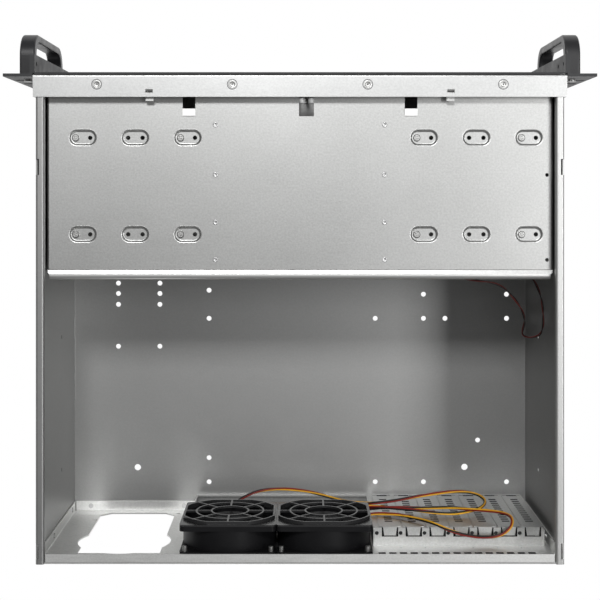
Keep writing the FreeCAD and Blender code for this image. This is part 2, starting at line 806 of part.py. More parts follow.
def slot_cover(index):
    """A pressed cover: plate with a column of vents, a tab in the shelf and a joggled foot."""
    body = new_body(f"slot_cover_{index}")
    half, tongue = "cover_width / 2", "cover_foot / 2"
    shoulder = "(shelf_level - tab_front / 2)"
    low, notch = "(slot_sill - cover_lap)", "(slot_sill + cover_lap)"
    add(body, "XZ", "-cover_sheet", 0,
        polygon((f"-{half}", low), (f"-{tongue}", low), (f"-{tongue}", notch), (tongue, notch),
                (tongue, low), (half, low), (half, shoulder), ("tab_front", f"{shoulder} + 1"),
                ("tab_front", "shelf_level"), ("-tab_front", "shelf_level"),
                ("-tab_front", f"{shoulder} + 1"), (f"-{half}", shoulder)))
    add(body, "XY", "shelf_level - cover_sheet", "shelf_level",
        polygon(("-tab_front", "-cover_sheet"), ("tab_front", "-cover_sheet"),
                ("tab_rear", "tab_length"), ("-tab_rear", "tab_length")))
    behind = "(sheet + slip)"
    add(body, "YZ", f"-{tongue}", tongue,
        polygon(("-cover_sheet", notch), (behind, "slot_sill + slip"), (behind, "slot_sill - 2 * cover_lap"),
                (f"{behind} + cover_sheet", "slot_sill - 2 * cover_lap"),
                (f"{behind} + cover_sheet", "slot_sill + slip + cover_sheet / 2"),
                (0, f"{notch} + cover_sheet"), ("-cover_sheet", f"{notch} + cover_sheet")))
    vent = cut(body, "XZ", "-past", "past", window(0, "cover_vent_start", "cover_vent_width", "cover_vent_height"))
    repeat(body, vent, "Z_Axis", "cover_vent_pitch", "cover_vent_count")
    place(body, f"-slot_first - {index - 1} * slot_pitch", Y_FACE)


# ---------------------------------------------------------------- front

def bay_centres():
    """The X of each upright drive bay, three each side of the middle."""
    return [f"({sign} * (bay_outer - {i} * bay_pitch))" for sign in (1, -1) for i in range(3)]


BAY_Z = "(lower_plate + bay_height / 2 - bay_shift)"


def control_holes(extra):
    """Openings for the buttons, lights and sockets, each wider than its piece by extra."""
    holes = [circle("-power_x", "controls_level", f"power_radius + {extra}"),
             circle("-reset_x", "controls_level", f"reset_radius + {extra}")]
    holes += [circle(x, "controls_level", f"lamp_radius + {extra}") for x in ("-lamp_x", "lamp_x")]
    holes += [window("socket_x", f"controls_level + {rise}", f"socket_width + 2 * {extra}",
                     f"socket_height + 2 * {extra}") for rise in ("socket_rise", "-socket_rise")]
    return holes


def front_frame():
    """The plated frame behind the black panel; its top flange is the strip across the front."""
    body = new_body("front_frame")
    half = "(frame_width / 2)"
    back = f"({Y_FRAME} + strip_depth)"
    add(body, "XZ", Y_FRAME, Y_TRAY,
        rectangle(f"-{half} + {OUTER_BEND}", 0, f"{half} - {OUTER_BEND}", f"case_height - {OUTER_BEND}"))
    add(body, "YZ", f"-{half}", half,
        polygon((Y_FRAME, "case_height - rim_width"), (Y_TRAY, "case_height - rim_width"),
                (Y_TRAY, Z_RIM, "bend"), (back, Z_RIM), (back, "case_height"),
                (Y_FRAME, "case_height", OUTER_BEND)))
    for sign in (1, -1):
        outer, inner = f"{sign} * {half}", f"{sign} * ({half} - sheet)"
        add(body, "XY", 0, Z_RIM,
            polygon((f"{sign} * ({half} - rim_width)", Y_FRAME), (outer, Y_FRAME, OUTER_BEND), (outer, back),
                    (inner, back), (inner, Y_TRAY, "bend"), (f"{sign} * ({half} - rim_width)", Y_TRAY)))
    tab = "(partition_x - partition_flange - slip)"
    add(body, "YZ", f"-{tab}", tab, rectangle(Y_FRAME, "sheet", f"{Y_TRAY} + flange", "2 * sheet"))
    openings = [window(x, BAY_Z, "bay_width", "bay_height") for x in bay_centres()]
    openings.append(window(0, BAY_Z, "2 * (partition_x - window_side)", "bay_height"))
    cut(body, "XZ", f"{Y_FRAME} - past", f"{Y_TRAY} + past", *openings)
    slots = [window(f"{sign} * strip_slot_x", f"{Y_FRAME} + strip_slot_back", "strip_slot_width",
                    "strip_slot_length") for sign in (1, -1)]
    cut(body, "XY", f"{Z_RIM} - past", "case_height + past", *slots)
    holes = [circle(f"{sign} * {x}", f"{Y_FRAME} + strip_screw_back", "screw_shank + slip")
             for sign in (1, -1) for x in ("strip_screw_x1", "strip_screw_x2")]
    cut(body, "XY", f"{Z_RIM} - past", "case_height + past", *holes)
    sinks = [circle(f"{sign} * {x}", f"{Y_FRAME} + strip_screw_back", "screw_head + slip")
             for sign in (1, -1) for x in ("strip_screw_x1", "strip_screw_x2")]
    cut(body, "XY", "case_height - strip_sink", "case_height + past", *sinks)


def strip_screws():
    """Four screws through the strip, with low heads sunk flush in counterbores."""
    body = new_body("strip_screws")
    seats = [circle(f"{sign} * {x}", f"{Y_FRAME} + strip_screw_back", "screw_head")
             for sign in (1, -1) for x in ("strip_screw_x1", "strip_screw_x2")]
    add(body, "XY", "case_height - strip_sink", "case_height", *seats)
    shanks = [circle(f"{sign} * {x}", f"{Y_FRAME} + strip_screw_back", "screw_shank")
              for sign in (1, -1) for x in ("strip_screw_x1", "strip_screw_x2")]
    add(body, "XY", f"{Z_RIM} - strip_screw_length", "case_height - strip_sink", *shanks)


def top_rail():
    """A folded rail between the strip and the cage plate, with two lid hooks."""
    body = new_body("top_rail")
    web = f"({Y_FRAME} + strip_depth - rail_set_back)"
    front = f"({Y_TRAY} + rail_front)"
    add(body, "YZ", "-cage_width / 2 + rail_front", "cage_width / 2 - rail_front",
        polygon((front, Z_RIM), (front, f"{Z_RIM} - sheet"), (f"{web} - sheet", f"{Z_RIM} - sheet", "bend"),
                (f"{web} - sheet", "cage_top + sheet", "bend"), (f"{web} - flange", "cage_top + sheet"),
                (f"{web} - flange", "cage_top"), (web, "cage_top", OUTER_BEND), (web, Z_RIM, OUTER_BEND)))
    for sign in (1, -1):
        add(body, "XY", f"{Z_RIM} - 3 * sheet", f"{Z_RIM} - 2 * sheet",
            rectangle(f"{sign} * strip_slot_x - hook_width / 2", f"{web} - sheet",
                      f"{sign} * strip_slot_x + hook_width / 2", f"{Y_FRAME} + strip_depth + hook_reach"))
    holes = [circle(f"{sign} * {x}", f"{Y_FRAME} + strip_screw_back", "screw_shank + slip")
             for sign in (1, -1) for x in ("strip_screw_x1", "strip_screw_x2")]
    cut(body, "XY", f"{Z_RIM} - sheet - past", f"{Z_RIM} + past", *holes)


def front_panel():
    """The black front: a face with wings folded forward beside the handles."""
    body = new_body("front_panel")
    low, high = "panel_margin", "(case_height - panel_margin)"
    back = Y_FRAME
    tip = f"({Y_FRONT} - panel_wing)"
    bend_out = "(bend + panel_sheet)"
    inner = f"({X_WING} - panel_sheet)"
    add(body, "XY", low, high,
        polygon((f"-{X_WING}", tip), (f"-{inner}", tip), (f"-{inner}", Y_FRONT, "bend"),
                (inner, Y_FRONT, "bend"), (inner, tip), (X_WING, tip),
                (X_WING, back, bend_out), (f"-{X_WING}", back, bend_out)))
    openings = [window(x, BAY_Z, "bay_width", "bay_height") for x in bay_centres()]
    through = (f"{Y_FRONT} - past", f"{Y_FRAME} + past")
    cut(body, "XZ", *through, *openings)
    cut(body, "XZ", *through, *control_holes("button_gap"))
    first = "-panel_vent_pitch * (panel_vent_count - 1) / 2"
    for level in ("lower_plate + panel_vent_low", "lower_plate + panel_vent_high"):
        vent = cut(body, "XZ", *through,
                   window(first, level, "panel_vent_width", "panel_vent_height", "panel_vent_round"))
        repeat(body, vent, "X_Axis", "panel_vent_pitch", "panel_vent_count")
    cut(body, "YZ", "-case_width", "case_width",
        circle(f"{Y_FRONT} - panel_wing / 2", "wing_hole_level", "wing_hole"))
    cut(body, "YZ", "-case_width", "0",
        circle(f"{Y_FRONT} - panel_wing / 2", "wing_hole_level - wing_hole_drop", "wing_hole"))


def ear(label, sign):
    """A rack ear: an angle whose long leg carries the rack slots and the handle."""
    body = new_body(label)
    low, high = "ear_margin", "(case_height - ear_margin)"
    plate_front = f"({Y_EAR_BACK} - ear_sheet)"
    tip = f"({Y_FRONT} - panel_wing + ear_tip)"
    add(body, "XY", low, high,
        polygon((f"{sign} * {X_WING}", tip), (f"{sign} * ({X_WING} + ear_sheet)", tip),
                (f"{sign} * ({X_WING} + ear_sheet)", plate_front, "bend"),
                (f"{sign} * ear_width / 2", plate_front), (f"{sign} * ear_width / 2", Y_EAR_BACK),
                (f"{sign} * {X_WING}", Y_EAR_BACK, "(bend + ear_sheet)")))
    slots = [slot(f"{sign} * rack_hole_pitch / 2", f"case_height / 2 + {s} * {run} / 2",
                  "rack_slot_run", "rack_slot") for s in (-1, 1) for run in ("rack_slot_inner", "rack_slot_outer")]
    holes = [circle(handle_x(sign), z, "handle_screw + slip") for z in handle_screw_levels()]
    cut(body, "XZ", f"{plate_front} - past", f"{Y_EAR_BACK} + past", *slots, *holes)


def handle_x(sign):
    return f"{sign} * ({X_WING} + ear_sheet + bend + slip + handle_width / 2)"


def handle_screw_levels():
    reach = "(handle_height / 2 - handle_arm / 2)"
    return [f"case_height / 2 - {reach}", f"case_height / 2 + {reach}"]


def handle(label, sign):
    """A moulded D handle: a bar bent round two large corners, its long edges rounded."""
    body = new_body(label)
    seat = f"({Y_EAR_BACK} - ear_sheet)"
    tip = f"({Y_FRONT} - handle_reach)"
    low, high = "case_height / 2 - handle_height / 2", "case_height / 2 + handle_height / 2"
    start = f"{handle_x(sign)} - handle_width / 2"
    bar = add(body, "YZ", start, f"{start} + handle_width",
              polygon((seat, low), (seat, f"{low} + handle_arm"),
                      (f"{tip} + handle_bar", f"{low} + handle_arm", "(handle_corner - handle_bar)"),
                      (f"{tip} + handle_bar", f"{high} - handle_arm", "(handle_corner - handle_bar)"),
                      (seat, f"{high} - handle_arm"), (seat, high),
                      (tip, high, "handle_corner"), (tip, low, "handle_corner")))
    doc.recompute()
    faces = [start, f"{start} + handle_width"]
    edges = []
    for index, edge in enumerate(bar.Shape.Edges, start=1):
        box = edge.BoundBox
        on_side = any(abs(box.XMin - number(x)) < 0.01 and abs(box.XMax - number(x)) < 0.01 for x in faces)
        on_seat = abs(box.YMin - number(seat)) < 0.01
        if on_side and not on_seat:
            edges.append(f"Edge{index}")
    rounding = body.newObject("PartDesign::Fillet", "Fillet")
    rounding.Base = (bar, edges)
    rounding.setExpression("Radius", bound("handle_round"))
    holes = [circle(handle_x(sign), z, "handle_screw") for z in handle_screw_levels()]
    cut(body, "XZ", f"{seat} - handle_screw_depth - past", f"{seat} + past", *holes)


def handle_screws():
    """Screws through the ears from behind into the handles, two each side."""
    body = new_body("handle_screws")
    seat = f"({Y_EAR_BACK} - ear_sheet)"
    for sign in (1, -1):
        heads = [circle(handle_x(sign), z, "screw_head") for z in handle_screw_levels()]
        add(body, "XZ", Y_EAR_BACK, f"{Y_EAR_BACK} + screw_head_height", *heads)
        shanks = [circle(handle_x(sign), z, "handle_screw - slip") for z in handle_screw_levels()]
        add(body, "XZ", f"{seat} - handle_screw_depth", Y_EAR_BACK, *shanks)


def bay_cover(index, x):
    """A bay cover: a shallow moulded tray, open behind, with a sunk field in its face."""
    body = new_body(f"bay_cover_{index}")
    width, height = "(bay_width - 2 * button_gap)", "(bay_height - 2 * button_gap)"
    add(body, "XZ", Y_FRONT, f"{Y_FRONT} + cover_depth", window(0, 0, width, height, "cover_round"))
    cut(body, "XZ", f"{Y_FRONT} + 2 * cover_wall", f"{Y_FRONT} + cover_depth + past",
        window(0, 0, f"{width} - 2 * cover_wall", f"{height} - 2 * cover_wall"))
    cut(body, "XZ", f"{Y_FRONT} - past", f"{Y_FRONT} + cover_wall / 2",
        window(0, 0, f"{width} - 2 * cover_field", f"{height} - 2 * cover_field", "cover_field_round"))
    place(body, x, 0, BAY_Z)


def front_controls():
    """The bracket behind the centre of the panel, and the switches, lights and sockets on it."""
    stop = f"({Y_FRONT} + controls_back)"
    bracket = new_body("controls_bracket")
    edge, foot = "controls_half", "(controls_half + controls_foot)"
    feet = f"({Y_TRAY} + sheet)"
    add(bracket, "XY", "controls_level - controls_height / 2", "controls_level + controls_height / 2",
        polygon((f"-{foot}", Y_TRAY), (f"-{edge} + sheet", Y_TRAY), (f"-{edge} + sheet", stop),
                (f"{edge} - sheet", stop), (f"{edge} - sheet", Y_TRAY), (foot, Y_TRAY), (foot, feet),
                (edge, feet), (edge, f"{stop} + sheet"), (f"-{edge}", f"{stop} + sheet"),
                (f"-{edge}", feet), (f"-{foot}", feet)))

    switches = new_body("switches")
    for x in ("-power_x", "-reset_x"):
        add(switches, "XZ", f"{stop} - switch_depth", stop,
            window(x, "controls_level", "switch_size", "switch_size"))
        cut(switches, "XZ", f"{stop} - switch_depth - past", stop,
            circle(x, "controls_level", "stem_radius + shaft_fit"))

    for label, x, size in (("power_button", "-power_x", "power_radius"),
                           ("reset_button", "-reset_x", "reset_radius")):
        button = new_body(label)
        add(button, "XZ", f"{Y_FRONT} - button_proud", f"{stop} - switch_depth - button_travel - stem_gap",
            circle(x, "controls_level", size))
        add(button, "XZ", Y_FRONT, f"{stop} - button_travel - stem_gap",
            circle(x, "controls_level", "stem_radius"))

    lamps = new_body("indicator_lenses")
    add(lamps, "XZ", f"{Y_FRONT} - lamp_proud", stop,
        *[circle(x, "controls_level", "lamp_radius") for x in ("-lamp_x", "lamp_x")])

    sockets = new_body("usb_sockets")
    for rise in ("-socket_rise", "socket_rise"):
        level = f"(controls_level + {rise})"
        add(sockets, "XZ", f"{Y_FRONT} - socket_proud", stop,
            window("socket_x", level, "socket_width", "socket_height"))
        cut(sockets, "XZ", f"{Y_FRONT} - past", f"{stop} - socket_floor",
            window("socket_x", level, "socket_width - 2 * socket_wall", "socket_height - 2 * socket_wall"))
        add(sockets, "XZ", f"{Y_FRONT} + tongue_back", stop,
            window("socket_x", f"{level} + tongue_rise", "tongue_width", "tongue_height"))


# ---------------------------------------------------------------- drive cage

def dimple_centres():
    """Middles of the stamped hollows: two rows, one hollow to a bay, off the bay's middle."""
    rows = [f"({Y_REAR} - drive_row_front + {i} * drive_row_pitch)" for i in (0, 1)]
    return [(f"({x} - dimple_shift)", y) for x in bay_centres() for y in rows]


def drive_cage():
    """The cage's top and sides in one sheet, with a rolled rear edge and stamped hollows."""
    body = new_body("drive_cage")
    half = "cage_width / 2"
    foot = f"({X_WALL} - cage_foot_gap)"
    roll_start = f"({Y_CAGE_REAR} - roll_radius - 1)"
    add(body, "XZ", Y_TRAY, roll_start,
        polygon((f"-{foot}", "sheet"), (f"-{half} + sheet", "sheet"), (f"-{half} + sheet", "cage_top - sheet", "bend"),
                (f"{half} - sheet", "cage_top - sheet", "bend"), (f"{half} - sheet", "sheet"), (foot, "sheet"),
                (foot, "2 * sheet"), (half, "2 * sheet"), (half, "cage_top", OUTER_BEND),
                (f"-{half}", "cage_top", OUTER_BEND), (f"-{half}", "2 * sheet"), (f"-{foot}", "2 * sheet")))
    add(body, "YZ", f"-{half} + {OUTER_BEND}", f"{half} - {OUTER_BEND}",
        polygon((f"{roll_start} - 2", "cage_top - sheet"),
                (f"{Y_CAGE_REAR} - sheet", "cage_top - sheet", "(roll_radius - sheet)"),
                (f"{Y_CAGE_REAR} - sheet", "cage_top - roll_drop"), (Y_CAGE_REAR, "cage_top - roll_drop"),
                (Y_CAGE_REAR, "cage_top", "roll_radius"), (f"{roll_start} - 2", "cage_top")))
    groove = f"({Y_CAGE_REAR} - groove_ahead)"
    add(body, "YZ", f"-{half} + {OUTER_BEND}", f"{half} - {OUTER_BEND}",
        polygon((f"{groove} - groove_front - sheet / 2", "cage_top - sheet / 2"),
                (f"{groove} - sheet / 2", "cage_top - sheet - groove_depth"),
                (groove, "cage_top - sheet - groove_depth"),
                (f"{groove} + groove_run", "cage_top - sheet / 2")))
    cut(body, "YZ", "-case_width", "case_width",
        polygon((f"{groove} - groove_front", "cage_top + slip"), (f"{groove} - groove_front", "cage_top"),
                (groove, "cage_top - groove_depth"), (f"{groove} + groove_run", "cage_top"),
                (f"{groove} + groove_run", "cage_top + slip")))
    front = f"{Y_TRAY} - past"
    notches = [rectangle(f"{sign} * cage_notch_x - cage_notch_width / 2", front,
                         f"{sign} * cage_notch_x + cage_notch_width / 2", f"{Y_FRONT} + cage_notch_depth")
               for sign in (1, -1)]
    notches.append(rectangle("-centre_notch_x - centre_notch_width / 2", front,
                             "-centre_notch_x + centre_notch_width / 2", f"{Y_FRONT} + centre_notch_depth"))
    cut(body, "XY", "cage_top - 2 * sheet", "cage_top + past", *notches)
    hems = [rectangle(f"{sign} * cage_notch_x - cage_notch_width / 2", f"{Y_FRONT} + cage_notch_depth",
                      f"{sign} * cage_notch_x + cage_notch_width / 2",
                      f"{Y_FRONT} + cage_notch_depth + hem_length") for sign in (1, -1)]
    add(body, "XY", "cage_top - sheet", "cage_top + sheet", *hems)
    centres = dimple_centres()
    below = add(body, "XY", "cage_top - sheet - dimple_depth", "cage_top - sheet / 2",
                *[slot(x, y, "dimple_run", "dimple_radius") for x, y in centres])
    hollow = cut(body, "XY", "cage_top - dimple_depth", "cage_top + slip",
                 *[slot(x, y, "dimple_run", "dimple_radius") for x, y in centres])
    for feature in (below, hollow):
        feature.setExpression("TaperAngle", bound("dimple_slope * 1 deg"))
    cut(body, "XY", "cage_top - 2 * sheet - dimple_depth", "cage_top",
        *[circle(f"{x} + {s} * drive_hole_pitch / 2", y, "drive_hole") for x, y in centres for s in (1, -1)])
    cut(body, "XY", "cage_top - 2 * sheet", "cage_top + past",
        *[circle("-cage_width / 2 + edge_hole_in", f"{Y_CAGE_REAR} - {back}", "edge_hole_radius")
          for back in ("edge_hole_1", "edge_hole_2")])


def partition(label, sign):
    """An upright wall between the drive bays and the middle, flanged at top and floor."""
    body = new_body(label)
    outer, inner = f"{sign} * partition_x", f"{sign} * (partition_x - sheet)"
    tip = f"{sign} * (partition_x - partition_flange)"
    top = "(cage_top - sheet)"
    add(body, "XZ", f"{Y_TRAY} + slip", f"{Y_CAGE_REAR} - groove_ahead - 2 * sheet",
        polygon((tip, "sheet"), (outer, "sheet", OUTER_BEND), (outer, top, OUTER_BEND), (tip, top),
                (tip, f"{top} - sheet"), (inner, f"{top} - sheet", "bend"), (inner, "2 * sheet", "bend"),
                (tip, "2 * sheet")))
    cut(body, "YZ", "-case_width", "case_width",
        window(f"{Y_FRONT} + cable_hole_back", "cable_hole_level", "cable_hole_width", "cable_hole_height"))


def lower_drive_plate(label, sign):
    """The shelf that closes a set of bays below: a sheet turned down to the floor each side."""
    body = new_body(label)
    near, far = "(partition_x + slip)", "(cage_width / 2 - sheet - slip)"
    section = [(near, "sheet"), (near, "lower_plate", OUTER_BEND), (far, "lower_plate", OUTER_BEND),
               (far, "sheet"), (f"({far} - sheet)", "sheet"),
               (f"({far} - sheet)", "lower_plate - sheet", "bend"),
               (f"({near} + sheet)", "lower_plate - sheet", "bend"), (f"({near} + sheet)", "sheet")]
    add(body, "XZ", f"{Y_TRAY} + slip", f"{Y_CAGE_REAR} - groove_ahead - 2 * sheet",
        polygon(*[(f"{sign} * {p[0]}",) + p[1:] for p in section]))
    mine = dimple_centres()[:6] if sign > 0 else dimple_centres()[6:]
    cut(body, "XY", "lower_plate - 2 * sheet", "lower_plate + past",
        *[slot(x, y, "drive_hole_pitch / 2", "drive_hole") for x, y in mine])


def cage_fasteners():
    """Screws in the outer columns of hollows, and rivet heads along the partitions."""
    screws = new_body("cage_screws")
    seats = [(f"{x} + drive_hole_pitch / 2", y) for i, (x, y) in enumerate(dimple_centres()) if i // 2 % 3 != 1]
    add(screws, "XY", "cage_top - dimple_depth", "cage_top - dimple_depth + cage_screw_height",
        *[circle(x, y, "cage_screw_head") for x, y in seats])
    add(screws, "XY", "cage_top - dimple_depth - cage_screw_length", "cage_top - dimple_depth",
        *[circle(x, y, "screw_shank") for x, y in seats])
    rivets = new_body("cage_rivets")
    add(rivets, "XY", "cage_top", "cage_top + rivet_head",
        *[circle(f"{sign} * (partition_x - partition_flange / 2)", f"{Y_REAR} - {back}", "rivet_radius")
          for sign in (1, -1) for back in ("rivet_back_1", "rivet_back_2", "rivet_back_3", "rivet_back_4")])


def rear_rivets():
    """Rivet heads that hold the rear panel's flanges to the floor and the side walls."""
    body = new_body("rear_rivets")
    y = f"{Y_REAR} - flange / 2 - bend"
    face = f"({X_WALL} - slip - sheet)"
    for level in ("rear_rivet_1", "rear_rivet_2", "rear_rivet_3"):
        add(body, "YZ", f"{face} - rivet_head", face, circle(y, level, "rivet_radius"))
        add(body, "YZ", f"-{face}", f"-{face} + rivet_head", circle(y, level, "rivet_radius"))
    add(body, "XY", "2 * sheet", "2 * sheet + rivet_head",
        *[circle(x, y, "rivet_radius") for x in ("recess_plus + floor_rivet_near", f"{X_WALL} - floor_rivet_far")])


# ---------------------------------------------------------------- rear fans

# Where each fan's lead leaves its barrel: the sideways offset and the low face of the boss.
LEAD_EXITS = {1: ("exit_right", "-fan_size / 2"), 2: ("-exit_left", "-exit_left_drop")}


def fan_frame(index):
    """A moulded fan housing: two square flanges, a round barrel and four struts to the motor."""
    body = new_body(f"fan_{index}_frame")
    square = window(0, 0, "fan_size", "fan_size", "fan_corner")
    add(body, "XZ", "-fan_depth", 0, circle(0, 0, "fan_barrel"))
    add(body, "XZ", "-fan_flange", 0, square)
    add(body, "XZ", "-fan_depth", "-fan_depth + fan_flange", square)
    exit_x, exit_low = LEAD_EXITS[index]
    add(body, "XY", exit_low, f"{exit_low} + exit_height",
        window(exit_x, "-fan_depth / 2 - exit_ahead", "exit_width", "exit_width"))
    cut(body, "XZ", "-fan_depth - past", "past", circle(0, 0, "fan_bore"))
    add(body, "XZ", "-motor_plate", 0, circle(0, 0, "motor_radius"))
    strut = add(body, "XZ", "-motor_plate", 0,
                rectangle("motor_radius - past", "-strut_width / 2", "fan_bore + past", "strut_width / 2"))
    turn_round(body, strut, 4)
    cut(body, "XZ", "-fan_depth", "past", circle(0, 0, "shaft_radius + shaft_fit"))
    cut(body, "XZ", "-fan_depth - past", "past",
        *[circle(f"{sx} * fan_hole_pitch / 2", f"{sz} * fan_hole_pitch / 2", "fan_hole")
          for sx in (-1, 1) for sz in (-1, 1)])
    place(body, fan_centre(index), Y_REAR_INNER, "fan_level")


def fan_rotor(index):
    """A hub on its shaft, with pitched blades lofted from root to tip."""
    body = new_body(f"fan_{index}_rotor")
    back = "(-motor_plate - rotor_gap)"
    add(body, "XZ", "-fan_depth + rotor_front", back, circle(0, 0, "motor_radius"))
    add(body, "XZ", "-fan_depth / 2", "-shaft_end", circle(0, 0, "shaft_radius"))
    middle = "(-fan_depth / 2 - blade_ahead)"

    def blade(chord, sweep):
        """A thin slanted section: chord along the axis, sweep across it."""
        lower, upper = f"{middle} - {chord} / 2", f"{middle} + {chord} / 2"
        return polygon((lower, f"-{sweep} / 2"), (f"{lower} + blade_thickness", f"-{sweep} / 2 - blade_slant"),
                       (upper, f"{sweep} / 2"), (f"{upper} - blade_thickness", f"{sweep} / 2 + blade_slant"))

    loft = body.newObject("PartDesign::AdditiveLoft", "Blade")
    root = blade("blade_root_chord", "blade_root_sweep")
    tip = blade("blade_tip_chord", "blade_tip_sweep")
    loft.Profile = sketch(body, "YZ", "motor_radius - blade_root_in", [root])
    loft.Sections = [sketch(body, "YZ", "blade_tip", [tip])]
    loft.Ruled = True
    turn_round(body, loft, "blade_count")
    place(body, fan_centre(index), Y_REAR_INNER, "fan_level")


def flattened(size, flat):
    """A circle of radius size about the sketch's origin, cut off flat on its four sides."""
    def draw(outline):
        reach = f"sqrt(({size})^2 - ({flat})^2)"
        signs = ((1, 1), (-1, 1), (-1, -1), (1, -1))
        arcs = []
        for index, (sx, sy) in enumerate(signs):
            ends = [(f"{sx} * ({flat})", f"{sy} * {reach}"), (f"{sx} * {reach}", f"{sy} * ({flat})")]
            first, last = ends if index % 2 == 0 else ends[::-1]
            arc = outline.add(arc_through(point_at(0, 0), number(size), point_at(*first), point_at(*last)))
            outline.pin(arc, 3, 0, 0)
            outline.radius(arc, size)
            side_start = (("DistanceX", first[0]), ("DistanceY", first[1]))[index % 2]
            outline.rules.append(((side_start[0], -1, 1, arc, 1), side_start[1]))
            arcs.append((arc, first, last))
        for (arc, _, last), (following, first, _) in zip(arcs, arcs[1:] + arcs[:1]):
            side = outline.add(Part.LineSegment(point_at(*last), point_at(*first)))
            outline.join(side, 1, arc, 2)
            outline.join(side, 2, following, 1)
        for index, (arc, _, last) in enumerate(arcs):
            word, spot = (("DistanceY", last[1]), ("DistanceX", last[0]))[index % 2]
            outline.rules.append(((word, -1, 1, arc, 2), spot))
    return draw


def ring(size):
    """A round rib about the sketch's origin, as wide as the guard's ribs."""
    def draw(outline):
        circle(0, 0, f"{size} + guard_rib / 2")(outline)
        circle(0, 0, f"{size} - guard_rib / 2")(outline)
    return draw


def slanted(near, far):
    """A rib from one radius to another along the diagonal."""
    side = "guard_rib / 2 * cos(45 deg)"
    start, end = f"({near}) * cos(45 deg)", f"({far}) * cos(45 deg)"
    return polygon((f"{start} + {side}", f"{start} - {side}"), (f"{end} + {side}", f"{end} - {side}"),
                   (f"{end} - {side}", f"{end} + {side}"), (f"{start} - {side}", f"{start} + {side}"))


def fan_guard(index):
    """A moulded finger guard: a flattened rim, two rings and eight spokes before the blades."""
    body = new_body(f"fan_{index}_guard")
    face = "(-fan_depth - guard_depth)"
    bars = (face, f"{face} + guard_bars")
    inside = ("guard_rim - guard_wall", "guard_flat - guard_wall")
    add(body, "XZ", face, "-fan_depth", flattened("guard_rim", "guard_flat"))
    add(body, "XZ", "-fan_depth - guard_plate", "-fan_depth",
        window(0, 0, "fan_size", "fan_size", "fan_corner"))
    cut(body, "XZ", f"{face} - past", "-fan_depth + past", flattened(*inside))
    for size in ("guard_ring_inner", "guard_ring_outer"):
        add(body, "XZ", *bars, ring(size))
    straight = add(body, "XZ", *bars,
                   rectangle("guard_ring_inner", "-guard_rib / 2", "guard_flat - slip", "guard_rib / 2"))
    turn_round(body, straight, 4)
    diagonal = add(body, "XZ", *bars, slanted("guard_ring_inner", "guard_rim - guard_wall / 2"))
    turn_round(body, diagonal, 4)
    place(body, fan_centre(index), Y_REAR_INNER, "fan_level")


def fan_screws():
    """Eight screws through the rear panel into the fans' rear flanges; their tips stand out."""
    body = new_body("fan_screws")
    seats = [(f"{fan_centre(index)} + {sx} * fan_hole_pitch / 2", f"fan_level + {sz} * fan_hole_pitch / 2")
             for index in (1, 2) for sx in (-1, 1) for sz in (-1, 1)]
    add(body, "XZ", Y_REAR, f"{Y_REAR} + rear_proud", *[circle(x, z, "fan_screw_head") for x, z in seats])
    add(body, "XZ", f"{Y_REAR_INNER} - fan_flange - fan_screw_length", Y_REAR,
        *[circle(x, z, "fan_hole - slip") for x, z in seats])


# ---------------------------------------------------------------- wires

FAN_1_ROUTE = [
    (68, 201.65, 78.2), (68, 201.65, 71.2), (65.8, 199.8, 64.7), (60.2, 195.6, 59.4), (50.5, 189.4, 56.2),
    (36, 184.4, 53), (19, 182.9, 51.9), (0, 183.6, 56), (-20, 186.4, 61), (-38, 191.4, 65.2), (-56, 192.4, 69.8),
    (-72, 190.2, 74.5), (-88.5, 189, 71.4), (-107, 186.2, 67), (-125, 185, 61.4), (-144, 184, 58),
    (-159, 185.6, 59), (-167, 189.8, 68), (-162, 193.2, 80), (-148.5, 195.4, 89), (-130.3, 196.1, 93),
    (-104.6, 194.3, 88.4), (-83.3, 193.6, 81.4), (-66, 193.3, 76.2), (-54, 194.2, 73), (-45, 196.6, 69.6),
    (-35, 201.9, 65.7), (-29, 201.9, 65.7),
]
FAN_2_ROUTE = [
    (-46.2, 201.65, 85.4), (-50.5, 201.65, 85.4), (-56, 199.9, 85), (-62, 197.9, 85.2), (-69.5, 197.2, 86.2),
    (-77, 197, 88.7),
    (-88, 196.2, 95.5), (-102, 196.2, 108), (-113, 196.4, 122), (-127, 201, 130), (-143.5, 206, 127.6),
    (-158, 207.8, 126.9), (-169.5, 206.4, 126.8), (-177, 201.6, 126.8), (-180.8, 196.8, 124.6), (-181.4, 193, 119.2),
    (-178.9, 191.4, 113.2), (-172.5, 191, 107.2), (-163, 191.2, 101), (-150, 191.9, 92.6), (-134, 192.6, 84.2),
    (-114, 194.1, 78.8), (-88.2, 195, 74), (-70, 195.6, 71.3), (-56, 198.2, 69.3), (-45, 203.4, 68),
    (-35, 209.2, 65.7), (-29, 209.2, 65.7),
]
PANEL_ROUTE = [
    (-34, -168.15, 140), (-34, -161, 140), (-35.5, -148, 140.8), (-40, -126, 144.5), (-45, -104, 149),
    (-49, -80, 151.5), (-57, -58, 152), (-72, -42, 150), (-92, -28, 150), (-116, -18, 150.5),
    (-142, -13, 150), (-166, -10, 147), (-180, 2.5, 139), (-189.5, 15.5, 128.5), (-193.3, 26, 114.5),
    (-193.2, 32.2, 106.2), (-193.4, 38, 98.6), (-198.2, 41, 94.6), (-205.2, 41, 94.6), (-210, 38, 98.6),
    (-210.2, 29.6, 109), (-208, 17, 120.5), (-204, 3, 134.5), (-197, -11, 143), (-187, -25, 141),
    (-179, -35, 129), (-174, -42, 111), (-171, -46, 90), (-169, -48, 68), (-166, -51, 48), (-161, -54, 32),
    (-150, -57.6, 23.5), (-142, -60, 20.1), (-137, -60, 20.1),
]


